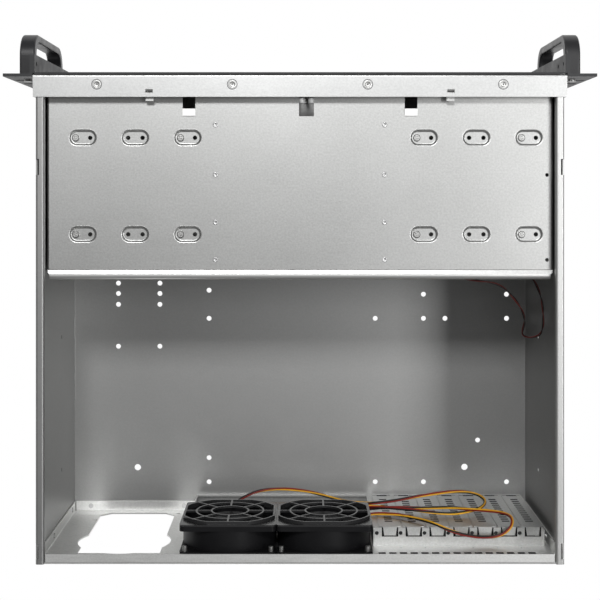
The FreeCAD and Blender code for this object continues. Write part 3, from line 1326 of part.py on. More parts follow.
def cord(label, route, diameter):
    """A round tube along straight runs joined by the largest tangent arcs that fit."""
    points = [FreeCAD.Vector(*point) for point in route]
    edges, at = [], points[0]
    radii = []
    for before, corner, after in zip(points, points[1:], points[2:]):
        into, out = (corner - before), (after - corner)
        reach = 0.45 * min(into.Length, out.Length)
        into.normalize()
        out.normalize()
        turn = into.getAngle(out)
        radii.append(reach / math.tan(turn / 2))
        entry, leave = corner - into * reach, corner + out * reach
        inward = (out - into).normalize()
        middle = corner + inward * radii[-1] * (1 / math.cos(turn / 2) - 1)
        edges.append(Part.LineSegment(at, entry).toShape())
        edges.append(Part.Arc(entry, middle, leave).toShape())
        at = leave
    edges.append(Part.LineSegment(at, points[-1]).toShape())
    path = Part.Wire(edges)
    size = number(diameter)
    ring = Part.Wire([Part.Circle(points[0], points[1] - points[0], size / 2).toShape()])
    tube = path.makePipeShell([ring], True, False)
    piece = doc.addObject("Part::Feature", label)
    piece.Label = label
    piece.Shape = tube
    piece.Placement = FreeCAD.Placement()
    PIECES.append(piece)
    expected = math.pi * size ** 2 / 4 * path.Length
    print(f"{label}: {path.Length:.0f} mm long, smallest radius {min(radii):.1f}, "
          f"volume {tube.Volume / expected:.3f} of section times length")


def connectors():
    """The small housings on the ends of the fan leads and of the panel lead."""
    fan_plugs = new_body("fan_connectors")
    for route in (FAN_1_ROUTE, FAN_2_ROUTE):
        x, y, z = route[-1]
        add(fan_plugs, "YZ", x, f"{x} + plug_length", window(y, z, "plug_width", "plug_height", "plug_round"))
    panel_plug = new_body("panel_connector")
    x, y, z = PANEL_ROUTE[-1]
    add(panel_plug, "YZ", x, f"{x} + plug_length",
        window(y, z, "panel_plug", "panel_plug", "panel_plug_round"))


def finish_document():
    """Recomputes, checks every object and writes each piece to its own file."""
    doc.recompute()
    for item in doc.Objects:
        for word in ("Invalid", "Error"):
            if word in item.State:
                raise RuntimeError(f"{item.Name} of {item.Label}: {item.State}")
    os.makedirs("parts", exist_ok=True)
    for piece in PIECES:
        shape = piece.Shape
        if shape.isNull() or not shape.isValid():
            raise RuntimeError(f"{piece.Label} has no valid shape")
        shape.exportStep(f"parts/{piece.Label}.step")
        print(f"{piece.Label}: {len(shape.Solids)} solids, {shape.Volume:.0f} mm3")


base_tray()
rear_panel()
io_bracket()
for cover_index in range(1, SLOTS + 1):
    slot_cover(cover_index)
front_frame()
strip_screws()
top_rail()
front_panel()
ear("ear_right", 1)
ear("ear_left", -1)
handle("handle_right", 1)
handle("handle_left", -1)
handle_screws()
for bay, centre in enumerate(bay_centres(), start=1):
    bay_cover(bay, centre)
front_controls()
drive_cage()
partition("partition_right", 1)
partition("partition_left", -1)
lower_drive_plate("lower_drive_plate_right", 1)
lower_drive_plate("lower_drive_plate_left", -1)
cage_fasteners()
rear_rivets()
for fan_index in (1, 2):
    fan_frame(fan_index)
    fan_rotor(fan_index)
    fan_guard(fan_index)
fan_screws()
cord("fan_1_lead", FAN_1_ROUTE, "lead_diameter")
cord("fan_2_lead", FAN_2_ROUTE, "lead_diameter")
cord("panel_lead", PANEL_ROUTE, "panel_lead_diameter")
connectors()
finish_document()
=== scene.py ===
# %% [markdown]
# An open server case seen from straight above. The folded steel shell, the black front, the fans and
# the screws come as finished solids. What they lack is looks, so this lesson gives each one a surface,
# draws the loose wires as real strands, and gives screw heads and pressed edges a finer form.

# %% Load the model
import math

import bpy
import numpy as np
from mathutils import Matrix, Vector


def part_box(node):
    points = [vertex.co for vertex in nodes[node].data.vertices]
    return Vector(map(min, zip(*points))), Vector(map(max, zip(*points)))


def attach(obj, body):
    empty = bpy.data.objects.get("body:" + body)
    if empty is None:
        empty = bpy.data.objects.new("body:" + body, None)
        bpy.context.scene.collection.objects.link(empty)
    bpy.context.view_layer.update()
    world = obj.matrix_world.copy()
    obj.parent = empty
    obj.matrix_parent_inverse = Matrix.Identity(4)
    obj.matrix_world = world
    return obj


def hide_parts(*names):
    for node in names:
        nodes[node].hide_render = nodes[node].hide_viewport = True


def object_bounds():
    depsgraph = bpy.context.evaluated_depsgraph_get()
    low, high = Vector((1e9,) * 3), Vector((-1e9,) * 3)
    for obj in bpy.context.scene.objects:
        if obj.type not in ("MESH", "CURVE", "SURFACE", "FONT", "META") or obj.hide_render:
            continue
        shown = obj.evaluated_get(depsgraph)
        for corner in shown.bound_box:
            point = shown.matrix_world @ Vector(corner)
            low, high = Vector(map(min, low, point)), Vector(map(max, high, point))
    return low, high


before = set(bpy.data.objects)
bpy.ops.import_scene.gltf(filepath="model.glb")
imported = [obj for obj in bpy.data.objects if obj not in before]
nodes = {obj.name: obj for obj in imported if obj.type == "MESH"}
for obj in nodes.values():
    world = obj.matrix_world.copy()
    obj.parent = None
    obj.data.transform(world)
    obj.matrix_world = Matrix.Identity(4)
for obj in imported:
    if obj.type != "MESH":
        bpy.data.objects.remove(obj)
case_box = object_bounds()

# %% [markdown]
# The camera hangs over the case and looks straight down, with the front at the top of the frame.
# It stands over the drive cage, nearer the front than the middle, so the walls show more of
# themselves towards the rear. A shift slides the frame back over the whole case without tilting it.

# %% Camera
CAMERA_Y = -0.08435
CAMERA_HEIGHT = 1.2222
LENS = 77.3
SENSOR_WIDTH = 36.0
FARTHEST_SEEN = 20.0
FRAME_SHIFT = -0.1765

camera_data = bpy.data.cameras.new("overhead")
camera_data.lens = LENS
camera_data.sensor_width = SENSOR_WIDTH
camera_data.shift_y = FRAME_SHIFT
camera_data.clip_end = FARTHEST_SEEN
camera = bpy.data.objects.new("overhead", camera_data)
camera.location = (0.0, CAMERA_Y, CAMERA_HEIGHT)
camera.rotation_euler = (0.0, 0.0, math.pi)
bpy.context.scene.collection.objects.link(camera)
bpy.context.scene.camera = camera
print("camera at", tuple(camera.location), "lens", LENS)

# %% [markdown]
# Each fan is fed by three thin wires that run side by side, and the front switches by two. A lead
# starts as one smooth line that listed points pull towards themselves. Its strands are tubes
# swept along that line, each held a little off it, and they wind round one another slowly.

# %% Routes of the leads, in millimetres
MILLIMETRE = 0.001
FAN_1_ROUTE = [
    (68, 201.65, 78.2), (68, 201.65, 71.2), (65.8, 199.8, 64.7), (60.2, 195.6, 59.4),
    (50.5, 189.4, 56.2), (36, 184.4, 53), (19, 182.9, 51.9), (0, 183.6, 56), (-20, 186.4, 61),
    (-38, 191.4, 65.2), (-56, 192.4, 69.8), (-72, 190.2, 74.5), (-88.5, 189, 71.4), (-107, 186.2, 67),
    (-125, 185, 61.4), (-144, 184, 58), (-159, 185.6, 59), (-167, 189.8, 68), (-162, 193.2, 80),
    (-148.5, 195.4, 89), (-130.3, 196.1, 93), (-104.6, 194.3, 88.4), (-83.3, 193.6, 81.4),
    (-66, 193.3, 76.2), (-54, 194.2, 73), (-45, 196.6, 69.6), (-35, 201.9, 65.7), (-29, 201.9, 65.7),
]
FAN_2_ROUTE = [
    (-46.2, 201.65, 85.4), (-50.5, 201.65, 85.4), (-56, 199.9, 85), (-62, 197.9, 85.2),
    (-69.5, 197.2, 86.2), (-77, 197, 88.7), (-88, 196.2, 95.5), (-102, 196.2, 108),
    (-113, 196.4, 122), (-127, 201, 130), (-143.5, 206, 127.6), (-158, 207.8, 126.9),
    (-169.5, 206.4, 126.8), (-177, 201.6, 126.8), (-180.8, 196.8, 124.6), (-181.4, 193, 119.2),
    (-178.9, 191.4, 113.2), (-172.5, 191, 107.2), (-163, 191.2, 101), (-150, 191.9, 92.6),
    (-134, 192.6, 84.2), (-114, 194.1, 78.8), (-88.2, 195, 74), (-70, 195.6, 71.3),
    (-56, 198.2, 69.3), (-45, 203.4, 68), (-35, 209.2, 65.7), (-29, 209.2, 65.7),
]
PANEL_ROUTE = [
    (-34, -168.15, 140), (-34, -161, 140), (-35.5, -148, 140.8), (-40, -126, 144.5), (-45, -104, 149),
    (-49, -80, 151.5), (-57, -58, 152), (-72, -42, 150), (-92, -28, 150), (-116, -18, 150.5),
    (-142, -13, 150), (-166, -10, 147), (-180, 2.5, 139), (-189.5, 15.5, 128.5), (-193.3, 26, 114.5),
    (-193.2, 32.2, 106.2), (-193.4, 38, 98.6), (-198.2, 41, 94.6), (-205.2, 41, 94.6),
    (-210, 38, 98.6), (-210.2, 29.6, 109), (-208, 17, 120.5), (-204, 3, 134.5), (-197, -11, 143),
    (-187, -25, 141), (-179, -35, 129), (-174, -42, 111), (-171, -46, 90), (-169, -48, 68),
    (-166, -51, 48), (-161, -54, 32), (-150, -57.6, 23.5), (-142, -60, 20.1), (-137, -60, 20.1),
]

# %% [markdown]
# Sweeping a ring along a line needs two directions across the line at each point. Carrying the last
# pair onwards, and only taking off what has come to point along the line, keeps the tube from twisting.

# %% Sweeping strands along a line
LEANING = (0.3, 0.4, 0.9)


def smooth_line(name, route):
    """Points along a quadratic spline that the route's points pull towards themselves."""
    curve = bpy.data.curves.new(name + "_line", "CURVE")
    curve.dimensions = "3D"
    curve.resolution_u = 16
    spline = curve.splines.new("NURBS")
    spline.points.add(len(route) - 1)
    for point, spot in zip(spline.points, route):
        point.co = (*[MILLIMETRE * value for value in spot], 1.0)
    spline.order_u = 3
    spline.use_endpoint_u = True
    holder = bpy.data.objects.new(name + "_line", curve)
    bpy.context.scene.collection.objects.link(holder)
    mesh = bpy.data.meshes.new_from_object(holder)
    line = np.zeros(len(mesh.vertices) * 3)
    mesh.vertices.foreach_get("co", line)
    bpy.data.objects.remove(holder)
    bpy.data.meshes.remove(mesh)
    return line.reshape(-1, 3)


def travel(line):
    """Distance along the line at each of its points: the running sum of the steps."""
    steps = np.linalg.norm(np.diff(line, axis=0), axis=1)
    return np.concatenate([[0.0], np.cumsum(steps)])


def steady_frames(line):
    """Side and lift: the last side carried on, less its part along the line, and side cross tangent."""
    tangents = np.gradient(line, axis=0)
    tangents /= np.linalg.norm(tangents, axis=1, keepdims=True)
    side = np.cross(tangents[0], LEANING)
    sides = []
    for tangent in tangents:
        side = side - tangent * side.dot(tangent)
        side = side / np.linalg.norm(side)
        sides.append(side)
    sides = np.array(sides)
    return sides, np.cross(sides, tangents)


def mesh_piece(name, points, faces, smooth=True):
    """A mesh object at the origin from an array of points and a list of faces."""
    mesh = bpy.data.meshes.new(name)
    mesh.from_pydata(points.tolist(), [], faces)
    mesh.validate()
    mesh.update()
    if smooth:
        mesh.shade_smooth()
    else:
        mesh.shade_flat()
    piece = bpy.data.objects.new(name, mesh)
    bpy.context.scene.collection.objects.link(piece)
    return piece


def ring_quads(rings, around):
    """Quads between each ring of points and the next, each ring closed on itself."""
    start = np.arange(rings - 1)[:, None] * around
    column = np.arange(around)[None, :]
    following = (column + 1) % around
    corners = [start + column, start + following, start + around + following, start + around + column]
    return np.stack(corners, -1).reshape(-1, 4)


def strand_points(line, radius, offset, phase, winds, around=10):
    """A closed tube: centre = line + offset * (cos a * side + sin a * lift), a = phase + 2 pi winds s / S."""
    side, lift = steady_frames(line)
    along = travel(line)
    angle = phase + 2.0 * np.pi * winds * along / along[-1]
    centre = line + offset * (np.cos(angle)[:, None] * side + np.sin(angle)[:, None] * lift)
    turn = np.linspace(0.0, 2.0 * np.pi, around, endpoint=False)
    ring = np.cos(turn)[None, :, None] * side[:, None, :] + np.sin(turn)[None, :, None] * lift[:, None, :]
    points = (centre[:, None, :] + radius * ring).reshape(-1, 3)
    last = (len(line) - 1) * around
    caps = [list(range(around))[::-1], list(range(last, last + around))]
    return points, ring_quads(len(line), around).tolist() + caps


def lead_piece(name, route, radius, offset, count, winds):
    """One object holding every strand of a lead, and the strand of each face, for its material slot later."""
    line = smooth_line(name, route)
    points, faces, slots = [], [], []
    for strand in range(count):
        tube, tube_faces = strand_points(line, radius, offset, 2.0 * np.pi * strand / count, winds)
        base = sum(len(part) for part in points)
        points.append(tube)
        faces += [[base + corner for corner in face] for face in tube_faces]
        slots += [strand] * len(tube_faces)
    piece = mesh_piece(name, np.concatenate(points), faces)
    length = travel(line)[-1]
    print(f"{name}: {count} strands, {length * 1000:.0f} mm long")
    return piece, slots, line, length


LEADS = {}
for name, route, radius, offset, count, winds in (
        ("fan_1_wires", FAN_1_ROUTE, 0.00070, 0.00080, 3, 3.0),
        ("fan_2_wires", FAN_2_ROUTE, 0.00070, 0.00080, 3, 2.5),
        ("panel_wires", PANEL_ROUTE, 0.00050, 0.00052, 2, 12.0)):
    LEADS[name] = lead_piece(name, route, radius, offset, count, winds)

# %% [markdown]
# Each lead is hung on the chassis in place of the plain solid it stands for, which is hidden.
# Each lead here goes back into the case, at its small connector.

# %% Leads on the chassis
for name, node, diameter in (("fan_1_wires", "fan_1_lead", 0.003), ("fan_2_wires", "fan_2_lead", 0.003),
                             ("panel_wires", "panel_lead", 0.0022)):
    piece, _, line, length = LEADS[name]
    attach(piece, "chassis")
    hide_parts(node)

# %% [markdown]
# The solids leave the screws as plain round heads. Here a strip screw is a ring round a sunk middle,
# a cage screw is nearly flat with a shallow cross, and a rivet is a low ring. A head is one grid of
# rings and angles, lifted by a height formula and copied to each seat. The dark bands on the heads
# are painted shade: a second, near-black finish given to some of the rings, not shape.

# %% Heads of screws and rivets
INNERMOST = 0.02
FIRST_SPIN, SPIN_STEP = 0.4, 1.7


def cross_relief(x, y, radius):
    """1 inside a cross of two bars 1.12 R long and 0.26 R wide, falling to 0 over soft ends."""
    arm, half, soft = 0.56 * radius, 0.13 * radius, 0.05 * radius

    def bar(along, across):
        return (np.clip((arm - np.abs(along)) / (3.0 * soft), 0.0, 1.0)
                * np.clip((half + soft - np.abs(across)) / soft, 0.0, 1.0))

    return np.maximum(bar(x, y), bar(y, x))


def turned_head(profile, under, cross_depth, around=64, rings=34):
    """Heights joined up between the profile's radii, less the cross, over a closed underside."""
    turn = np.linspace(0.0, 2.0 * np.pi, around, endpoint=False)
    radii, levels = np.array(profile).T
    reach = np.linspace(INNERMOST, 1.0, rings) * radii[-1]
    x = reach[:, None] * np.cos(turn)[None, :]
    y = reach[:, None] * np.sin(turn)[None, :]
    height = np.interp(reach, radii, levels)[:, None] - cross_depth * cross_relief(x, y, radii[-1])
    rows = [np.stack([x, y, height], -1)]
    for size, level in under:
        rows.append(np.stack([size * np.cos(turn), size * np.sin(turn), np.full(around, level)], -1)[None])
    points = np.concatenate(rows).reshape(-1, 3)
    faces = ring_quads(rings + len(under), around)[:, [0, 3, 2, 1]]
    lid = np.arange(around)
    last = (rings + len(under) - 1) * around
    return points, faces.tolist() + [lid.tolist(), (lid[::-1] + last).tolist()]


def head_set(name, node, seats, profile, under, cross_depth, shaded):
    """One object with a head at each seat, and which faces lie in the shaded bands of radius: these faces
    take the painted-shade finish later.
    """
    points, faces = turned_head(profile, under, cross_depth)
    all_points, all_faces = [], []
    for index, seat in enumerate(seats):
        angle = FIRST_SPIN + index * SPIN_STEP
        spin = np.array([[math.cos(angle), math.sin(angle), 0.0],
                         [-math.sin(angle), math.cos(angle), 0.0], [0.0, 0.0, 1.0]])
        all_points.append(MILLIMETRE * (points @ spin + np.array(seat)))
        all_faces += [[index * len(points) + corner for corner in face] for face in faces]
    piece = mesh_piece(name, np.concatenate(all_points), all_faces, smooth=False)
    middles = np.array([points[face].mean(axis=0) for face in faces])
    radius = np.hypot(middles[:, 0], middles[:, 1])
    dark = np.zeros(len(faces), dtype=np.int32)
    for low, high in shaded:
        dark[(radius > low) & (radius < high)] = 1
    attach(piece, "chassis")
    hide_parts(node)
    return piece, np.tile(dark, len(seats))


STRIP_Y, STRIP_Z = -173.45, 176.4
PLATE_Z, HOLLOW_FLOOR_Z = 166.2, 164.7
HOLLOW_ROWS = (-130.55, -51.31)
STRIP_SEATS = [(x, STRIP_Y, STRIP_Z) for x in (-165.0, -55.0, 55.0, 165.0)]
HOLLOW_SEATS = [(x, y, HOLLOW_FLOOR_Z) for x in (184.0, 98.0, -95.8, -181.8) for y in HOLLOW_ROWS]
RIVET_SEATS = [(x, y, PLATE_Z) for x in (-69.3, 69.3) for y in (-141.15, -100.25, -61.15, -30.55)]
STRIP_PROFILE = [(0.0, 0.18), (0.8, 0.18), (1.7, 0.28), (2.1, 0.53), (2.4, 0.58), (2.9, 0.58), (3.2, 0.5)]
STRIP_UNDER = [(3.2, 0.0), (1.5, 0.0), (1.5, -5.6), (0.06, -5.6)]
CAGE_PROFILE = [(0.0, 1.55), (2.3, 1.5), (2.5, 1.35), (2.7, 1.36), (2.85, 1.2), (3.0, 0.7)]
CAGE_UNDER = [(3.0, 0.0), (1.5, 0.0), (1.5, -5.0), (0.06, -5.0)]
RIVET_PROFILE = [(0.0, 0.16), (0.8, 0.17), (1.2, 0.3), (1.6, 0.34), (1.9, 0.26), (2.1, 0.05)]
RIVET_UNDER = [(2.1, 0.0), (0.4, 0.0), (0.4, -0.02), (0.05, -0.02)]
HEADS = {
    "strip_heads": head_set("strip_heads", "strip_screws", STRIP_SEATS, STRIP_PROFILE,
                            STRIP_UNDER, 0.0, [(0.0, 0.7), (1.75, 2.15)]),
    "cage_heads": head_set("cage_heads", "cage_screws", HOLLOW_SEATS, CAGE_PROFILE,
                           CAGE_UNDER, 0.3, [(2.4, 2.8)]),
    "rivet_heads": head_set("rivet_heads", "cage_rivets", RIVET_SEATS, RIVET_PROFILE,
                            RIVET_UNDER, 0.0, []),
}
print("heads:", {name: len(piece.data.polygons) for name, (piece, _) in HEADS.items()})

# %% [markdown]
# A press stamps each hollow of the cage plate with a rounded shoulder. Light that comes from one side
# makes the near slope dark and the far shoulder bright, and that is what the eye reads as depth. The
# shoulder is a profile carried round a stadium: two half circles joined by two straight runs. It is
# an open strip laid over the solid's own hollow, and it slopes further in than the solid's wall does.

# %% Shoulders of the hollows
HOLLOW_COLUMNS = (178.1, 135.1, 92.1, -101.7, -144.7, -187.7)
HOLLOW_CENTRES = [(x, y, PLATE_Z) for x in HOLLOW_COLUMNS for y in HOLLOW_ROWS]
STADIUM_POINTS = 72
STADIUM_RUN, STADIUM_RADIUS = 4.75, 7.16
SHOULDER = [(0.1, -0.02), (0.0, 0.02), (-0.35, -0.03), (-0.7, -0.11), (-1.0, -0.24), (-1.25, -0.45),
            (-1.5, -0.80), (-1.75, -1.15), (-2.0, -1.38), (-2.4, -1.47), (-2.6, -1.51)]


def stadium(offset):
    """Points round a stadium: centre shifted by the run towards each half circle, plus the radius."""
    step = 2.0 * np.pi / STADIUM_POINTS
    turn = np.linspace(0.0, 2.0 * np.pi, STADIUM_POINTS, endpoint=False) + step / 2.0
    reach = STADIUM_RADIUS + offset
    return np.stack([STADIUM_RUN * np.sign(np.cos(turn)) + reach * np.cos(turn), reach * np.sin(turn)], -1)


def shoulders(name, centres):
    """The shoulder profile carried round each hollow, as one grid of offsets and turns."""
    rows = [np.column_stack([stadium(offset), np.full(STADIUM_POINTS, level)]) for offset, level in SHOULDER]
    points = np.concatenate(rows)
    faces = ring_quads(len(rows), STADIUM_POINTS)
    all_points = [MILLIMETRE * (points + np.array(centre)) for centre in centres]
    all_faces = [faces + index * len(points) for index in range(len(centres))]
    piece = mesh_piece(name, np.concatenate(all_points), np.concatenate(all_faces).tolist())
    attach(piece, "chassis")
    return piece


hollow_shoulders = shoulders("hollow_shoulders", HOLLOW_CENTRES)
print("shoulders:", len(hollow_shoulders.data.polygons))

# %% [markdown]
# Materials are small node graphs. Every one starts from the piece's own coordinates in metres, so a
# pattern keeps its real size and never slides. A helper adds a broad cloudy change of tone, a fine
# grain that only tilts the light, and leaves the steady values on the shader itself.

# %% Material helpers

def new_surface(name, metallic, specular=0.5):
    """A material with its shader and object coordinates ready."""
    surface = bpy.data.materials.new(name)
    surface.use_nodes = True
    tree = surface.node_tree
    shader = tree.nodes["Principled BSDF"]
    shader.inputs["Metallic"].default_value = metallic
    shader.inputs["Specular IOR Level"].default_value = specular
    coordinates = tree.nodes.new("ShaderNodeTexCoord")
    return surface, tree, shader, coordinates.outputs["Object"]


def stretched(tree, vector, scale):
    """The coordinates scaled by a different amount along each axis."""
    mapping = tree.nodes.new("ShaderNodeMapping")
    mapping.inputs["Scale"].default_value = scale
    tree.links.new(vector, mapping.inputs["Vector"])
    return mapping.outputs["Vector"]


def noise(tree, vector, scale, detail=2.0, roughness=0.5):
    """Cloudy noise from 0 to 1, scale lumps to a metre."""
    node = tree.nodes.new("ShaderNodeTexNoise")
    node.inputs["Scale"].default_value = scale
    node.inputs["Detail"].default_value = detail
    node.inputs["Roughness"].default_value = roughness
    tree.links.new(vector, node.inputs["Vector"])
    return node.outputs["Fac"]


def spread(tree, value, low, high, start=0.3, end=0.7):
    """A number that goes from low to high as the value goes from start to end, and stops there."""
    node = tree.nodes.new("ShaderNodeMapRange")
    node.inputs["From Min"].default_value = start
    node.inputs["From Max"].default_value = end
    node.inputs["To Min"].default_value = low
    node.inputs["To Max"].default_value = high
    tree.links.new(value, node.inputs["Value"])
    return node.outputs["Result"]


def arithmetic(tree, operation, *values):
    """One arithmetic node; each value is a number or another node's output."""
    node = tree.nodes.new("ShaderNodeMath")
    node.operation = operation
    for socket, value in zip(node.inputs, values):
        if isinstance(value, (int, float)):
            socket.default_value = value
        else:
            tree.links.new(value, socket)
    return node.outputs["Value"]


def tinted(tree, value, dark, light):
    """A colour between two, chosen by a value from 0 to 1."""
    node = tree.nodes.new("ShaderNodeMix")
    node.data_type = "RGBA"
    node.inputs["A"].default_value = (*dark, 1.0)
    node.inputs["B"].default_value = (*light, 1.0)
    tree.links.new(value, node.inputs["Factor"])
    return node.outputs["Result"]


def add_bump(tree, shader, height, strength, distance):
    """Tilts the shading by a height pattern."""
    node = tree.nodes.new("ShaderNodeBump")
    node.inputs["Strength"].default_value = strength
    node.inputs["Distance"].default_value = distance
    tree.links.new(height, node.inputs["Height"])
    tree.links.new(node.outputs["Normal"], shader.inputs["Normal"])

# %% [markdown]
# Zinc-plated sheet has a soft satin shine. Rolling leaves a faint grain in its roughness, the plating
# adds slow clouds in tone, and close to it is a fine sandy speckle of pale and grey. Rough metal
# reflects the room as a blur, so a flat sheet goes from light to dark across its width.

# %% Plated steel

def plated_steel(name, dark, light, rough_low, rough_high, grain):
    """Satin zinc on steel; grain is the stretch of the rolling lines along each axis."""
    surface, tree, shader, place = new_surface(name, 1.0)
    clouds = spread(tree, noise(tree, place, 9.0, 4.0, 0.55), 0.0, 0.45)
    sand = spread(tree, noise(tree, place, 620.0, 2.0, 0.7), 0.0, 0.55, 0.36, 0.64)
    tone = arithmetic(tree, "ADD", clouds, sand)
    lines = noise(tree, stretched(tree, place, grain), 60.0, 3.0, 0.6)
    tree.links.new(tinted(tree, tone, dark, light), shader.inputs["Base Color"])
    tree.links.new(spread(tree, lines, rough_low, rough_high), shader.inputs["Roughness"])
    add_bump(tree, shader, noise(tree, place, 1100.0, 2.0), 0.2, 0.0002)
    return surface


# Painted light: the bright and pale tones, for the strip and the rear sheet, and the tray's tone are the same
# zinc as the sheet, made brighter or darker to stand in for how light falls on each.
SHEET = ((0.45, 0.453, 0.446), (0.585, 0.588, 0.581), 0.40, 0.43, (1.0, 14.0, 14.0))
PAINTED_LIGHT_BRIGHT = ((0.51, 0.514, 0.510), (0.62, 0.624, 0.62), 0.38, 0.42, (1.0, 20.0, 20.0))
PAINTED_LIGHT_PALE = ((0.76, 0.765, 0.75), (0.90, 0.90, 0.89), 0.46, 0.54, (1.0, 14.0, 14.0))
TRAY = ((0.90, 0.905, 0.895), (1.0, 1.0, 0.99), 0.45, 0.50, (1.0, 14.0, 14.0))
SCREW = ((0.50, 0.50, 0.49), (0.62, 0.62, 0.61), 0.36, 0.44, (6.0, 6.0, 6.0))
RIVET = ((0.50, 0.50, 0.50), (0.60, 0.60, 0.60), 0.38, 0.44, (3.0, 3.0, 3.0))
# Painted shade: the near-black tone for the dark bands on the screw heads.
PAINTED_SHADE_TONES = ((0.10, 0.10, 0.10), (0.16, 0.16, 0.16), 0.5, 0.6, (3.0, 3.0, 3.0))
sheet_steel = plated_steel("sheet_steel", *SHEET)
bright_painted_light_steel = plated_steel("bright_painted_light_steel", *PAINTED_LIGHT_BRIGHT)
screw_steel = plated_steel("screw_steel", *SCREW)
rivet_alloy = plated_steel("rivet_alloy", *RIVET)
painted_shade_steel = plated_steel("painted_shade_steel", *PAINTED_SHADE_TONES)
print("steels made")

# %% [markdown]
# The tray is one big folded sheet, and its tone is set by place. The floor and walls take one tone.
# High up, where the two rims are, it goes over to a tone that runs from the rim on the +X side, the
# darkest of all, to the one on the -X side, the brightest. This stands in for how light falls across
# the case, so it stays when the light moves. It isn't a property of the steel.

# %% Steel of the tray
RIM_FADE = (-0.006, -0.001)


def grain_and_place(surface):
    """A steel's node tree, shader and grain colour, and the coordinates split into X, Y and Z."""
    tree = surface.node_tree
    shader = tree.nodes["Principled BSDF"]
    grain = shader.inputs["Base Color"].links[0].from_socket
    where = tree.nodes.new("ShaderNodeSeparateXYZ")
    tree.links.new(tree.nodes.new("ShaderNodeTexCoord").outputs["Object"], where.inputs["Vector"])
    return tree, shader, grain, where.outputs


def toned_steel(name, base, floor_tone, rim_near, rim_far):
    """Zinc whose tone is multiplied by height and, high up, by the side of the case."""
    surface = plated_steel(name, *base)
    tree, shader, grain, where = grain_and_place(surface)
    rim = spread(tree, where["X"], rim_near, rim_far, case_box[1][0], case_box[0][0])
    height = spread(tree, where["Z"], 0.0, 1.0, RIM_LEVEL + RIM_FADE[0], RIM_LEVEL + RIM_FADE[1])
    tone = tree.nodes.new("ShaderNodeMix")
    tone.inputs["A"].default_value = floor_tone
    tree.links.new(height, tone.inputs["Factor"])
    tree.links.new(rim, tone.inputs["B"])
    product = tree.nodes.new("ShaderNodeVectorMath")
    product.operation = "SCALE"
    tree.links.new(grain, product.inputs[0])
    tree.links.new(tone.outputs["Result"], product.inputs["Scale"])
    tree.links.new(product.outputs["Vector"], shader.inputs["Base Color"])
    return surface


RIM_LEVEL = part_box("base_tray")[1][2]
tray_steel = toned_steel("tray_steel", TRAY, floor_tone=0.43, rim_near=0.38, rim_far=0.68)
print("tray steel made")

# %% [markdown]
# Seen from above, a slot in an upright sheet shows only the thin wall of its cut, which lies in shade
# and has to read as black. A mask finds such places by the distance to the nearest slot of a row,
# folded by the row's pitch, and they are painted black: painted shade. The paint runs a little past
# each opening and stays under any light. Other masks paint the cage's hems and rolled edge pale, a
# painted highlight, and dark grey rings round the strip's screws, painted shade with no shape under them.

# %% Steel with painted shade and highlights
SLOT_FIRST, SLOT_PITCH, SLOTS = -0.0768, -0.02032, 7
COVER_VENT_FIRST, COVER_VENT_PITCH, COVER_VENTS = 0.025, 0.0072, 12
REAR_VENT_FIRST, REAR_VENT_PITCH, REAR_VENTS = -0.0686, -0.00895, 15
RING_RADIUS, RING_HALF = 0.0040, 0.0003
SEAT_PAIR_MIDDLE, SEAT_PAIR_HALF = 0.110, 0.055
CUT_SHADE_BLACK, RING_SHADE_GREY, HEM_HIGHLIGHT_PALE = (0.01, 0.01, 0.01), (0.12, 0.12, 0.12), (0.84, 0.84, 0.83)


def within(tree, value, middle, half):
    """1 where a coordinate lies within half of the middle, else 0."""
    return arithmetic(tree, "COMPARE", value, middle, half)


def all_of(tree, first, *others):
    """1 where every mask holds: their product."""
    for other in others:
        first = arithmetic(tree, "MULTIPLY", first, other)
    return first


def row_of(tree, value, first, pitch, count, half):
    """1 near each of count places that start at first and step by pitch, else 0."""
    steps = arithmetic(tree, "DIVIDE", arithmetic(tree, "SUBTRACT", value, first), pitch)
    nearest = arithmetic(tree, "PINGPONG", steps, 0.5)
    near = arithmetic(tree, "LESS_THAN", arithmetic(tree, "MULTIPLY", nearest, abs(pitch)), half)
    inside = arithmetic(tree, "COMPARE", steps, (count - 1) / 2, (count - 1) / 2 + 0.49)
    return all_of(tree, near, inside)


def marked_steel(name, base, tint, masks):
    """A plated steel whose tone turns to the tint where any mask holds."""
    surface = plated_steel(name, *base)
    tree, shader, grain, where = grain_and_place(surface)
    total = None
    for mask in masks:
        held = mask(tree, where["X"], where["Y"], where["Z"])
        total = held if total is None else arithmetic(tree, "MAXIMUM", total, held)
    mix = tree.nodes.new("ShaderNodeMix")
    mix.data_type = "RGBA"
    tree.links.new(total, mix.inputs["Factor"])
    tree.links.new(grain, mix.inputs["A"])
    mix.inputs["B"].default_value = (*tint, 1.0)
    tree.links.new(mix.outputs["Result"], shader.inputs["Base Color"])
    return surface


def cover_vents(tree, x, y, z):
    """The twelve vents up each slot cover."""
    return all_of(tree, row_of(tree, x, SLOT_FIRST, SLOT_PITCH, SLOTS, half=0.0034),
                  row_of(tree, z, COVER_VENT_FIRST, COVER_VENT_PITCH, COVER_VENTS, half=0.0018))


def tail_slots(tree, x, y, z):
    """The slots for the cards' tails, low in the recess."""
    return all_of(tree, row_of(tree, x, SLOT_FIRST, SLOT_PITCH, SLOTS, half=0.0084),
                  within(tree, z, middle=0.0054, half=0.0015))


def tab_seats(tree, x, y, z):
    """A block round each cover's tab in the shelf, which takes in the gap and some of the shelf."""
    return all_of(tree, row_of(tree, x, SLOT_FIRST, SLOT_PITCH, SLOTS, half=0.0070),
                  within(tree, y, middle=0.2040, half=0.0038), within(tree, z, middle=0.1232, half=0.002))


def rear_vents(tree, x, y, z):
    """The row of fifteen vents high in the rear sheet."""
    return all_of(tree, row_of(tree, x, REAR_VENT_FIRST, REAR_VENT_PITCH, REAR_VENTS, half=0.0031),
                  within(tree, z, middle=0.147, half=0.0032))


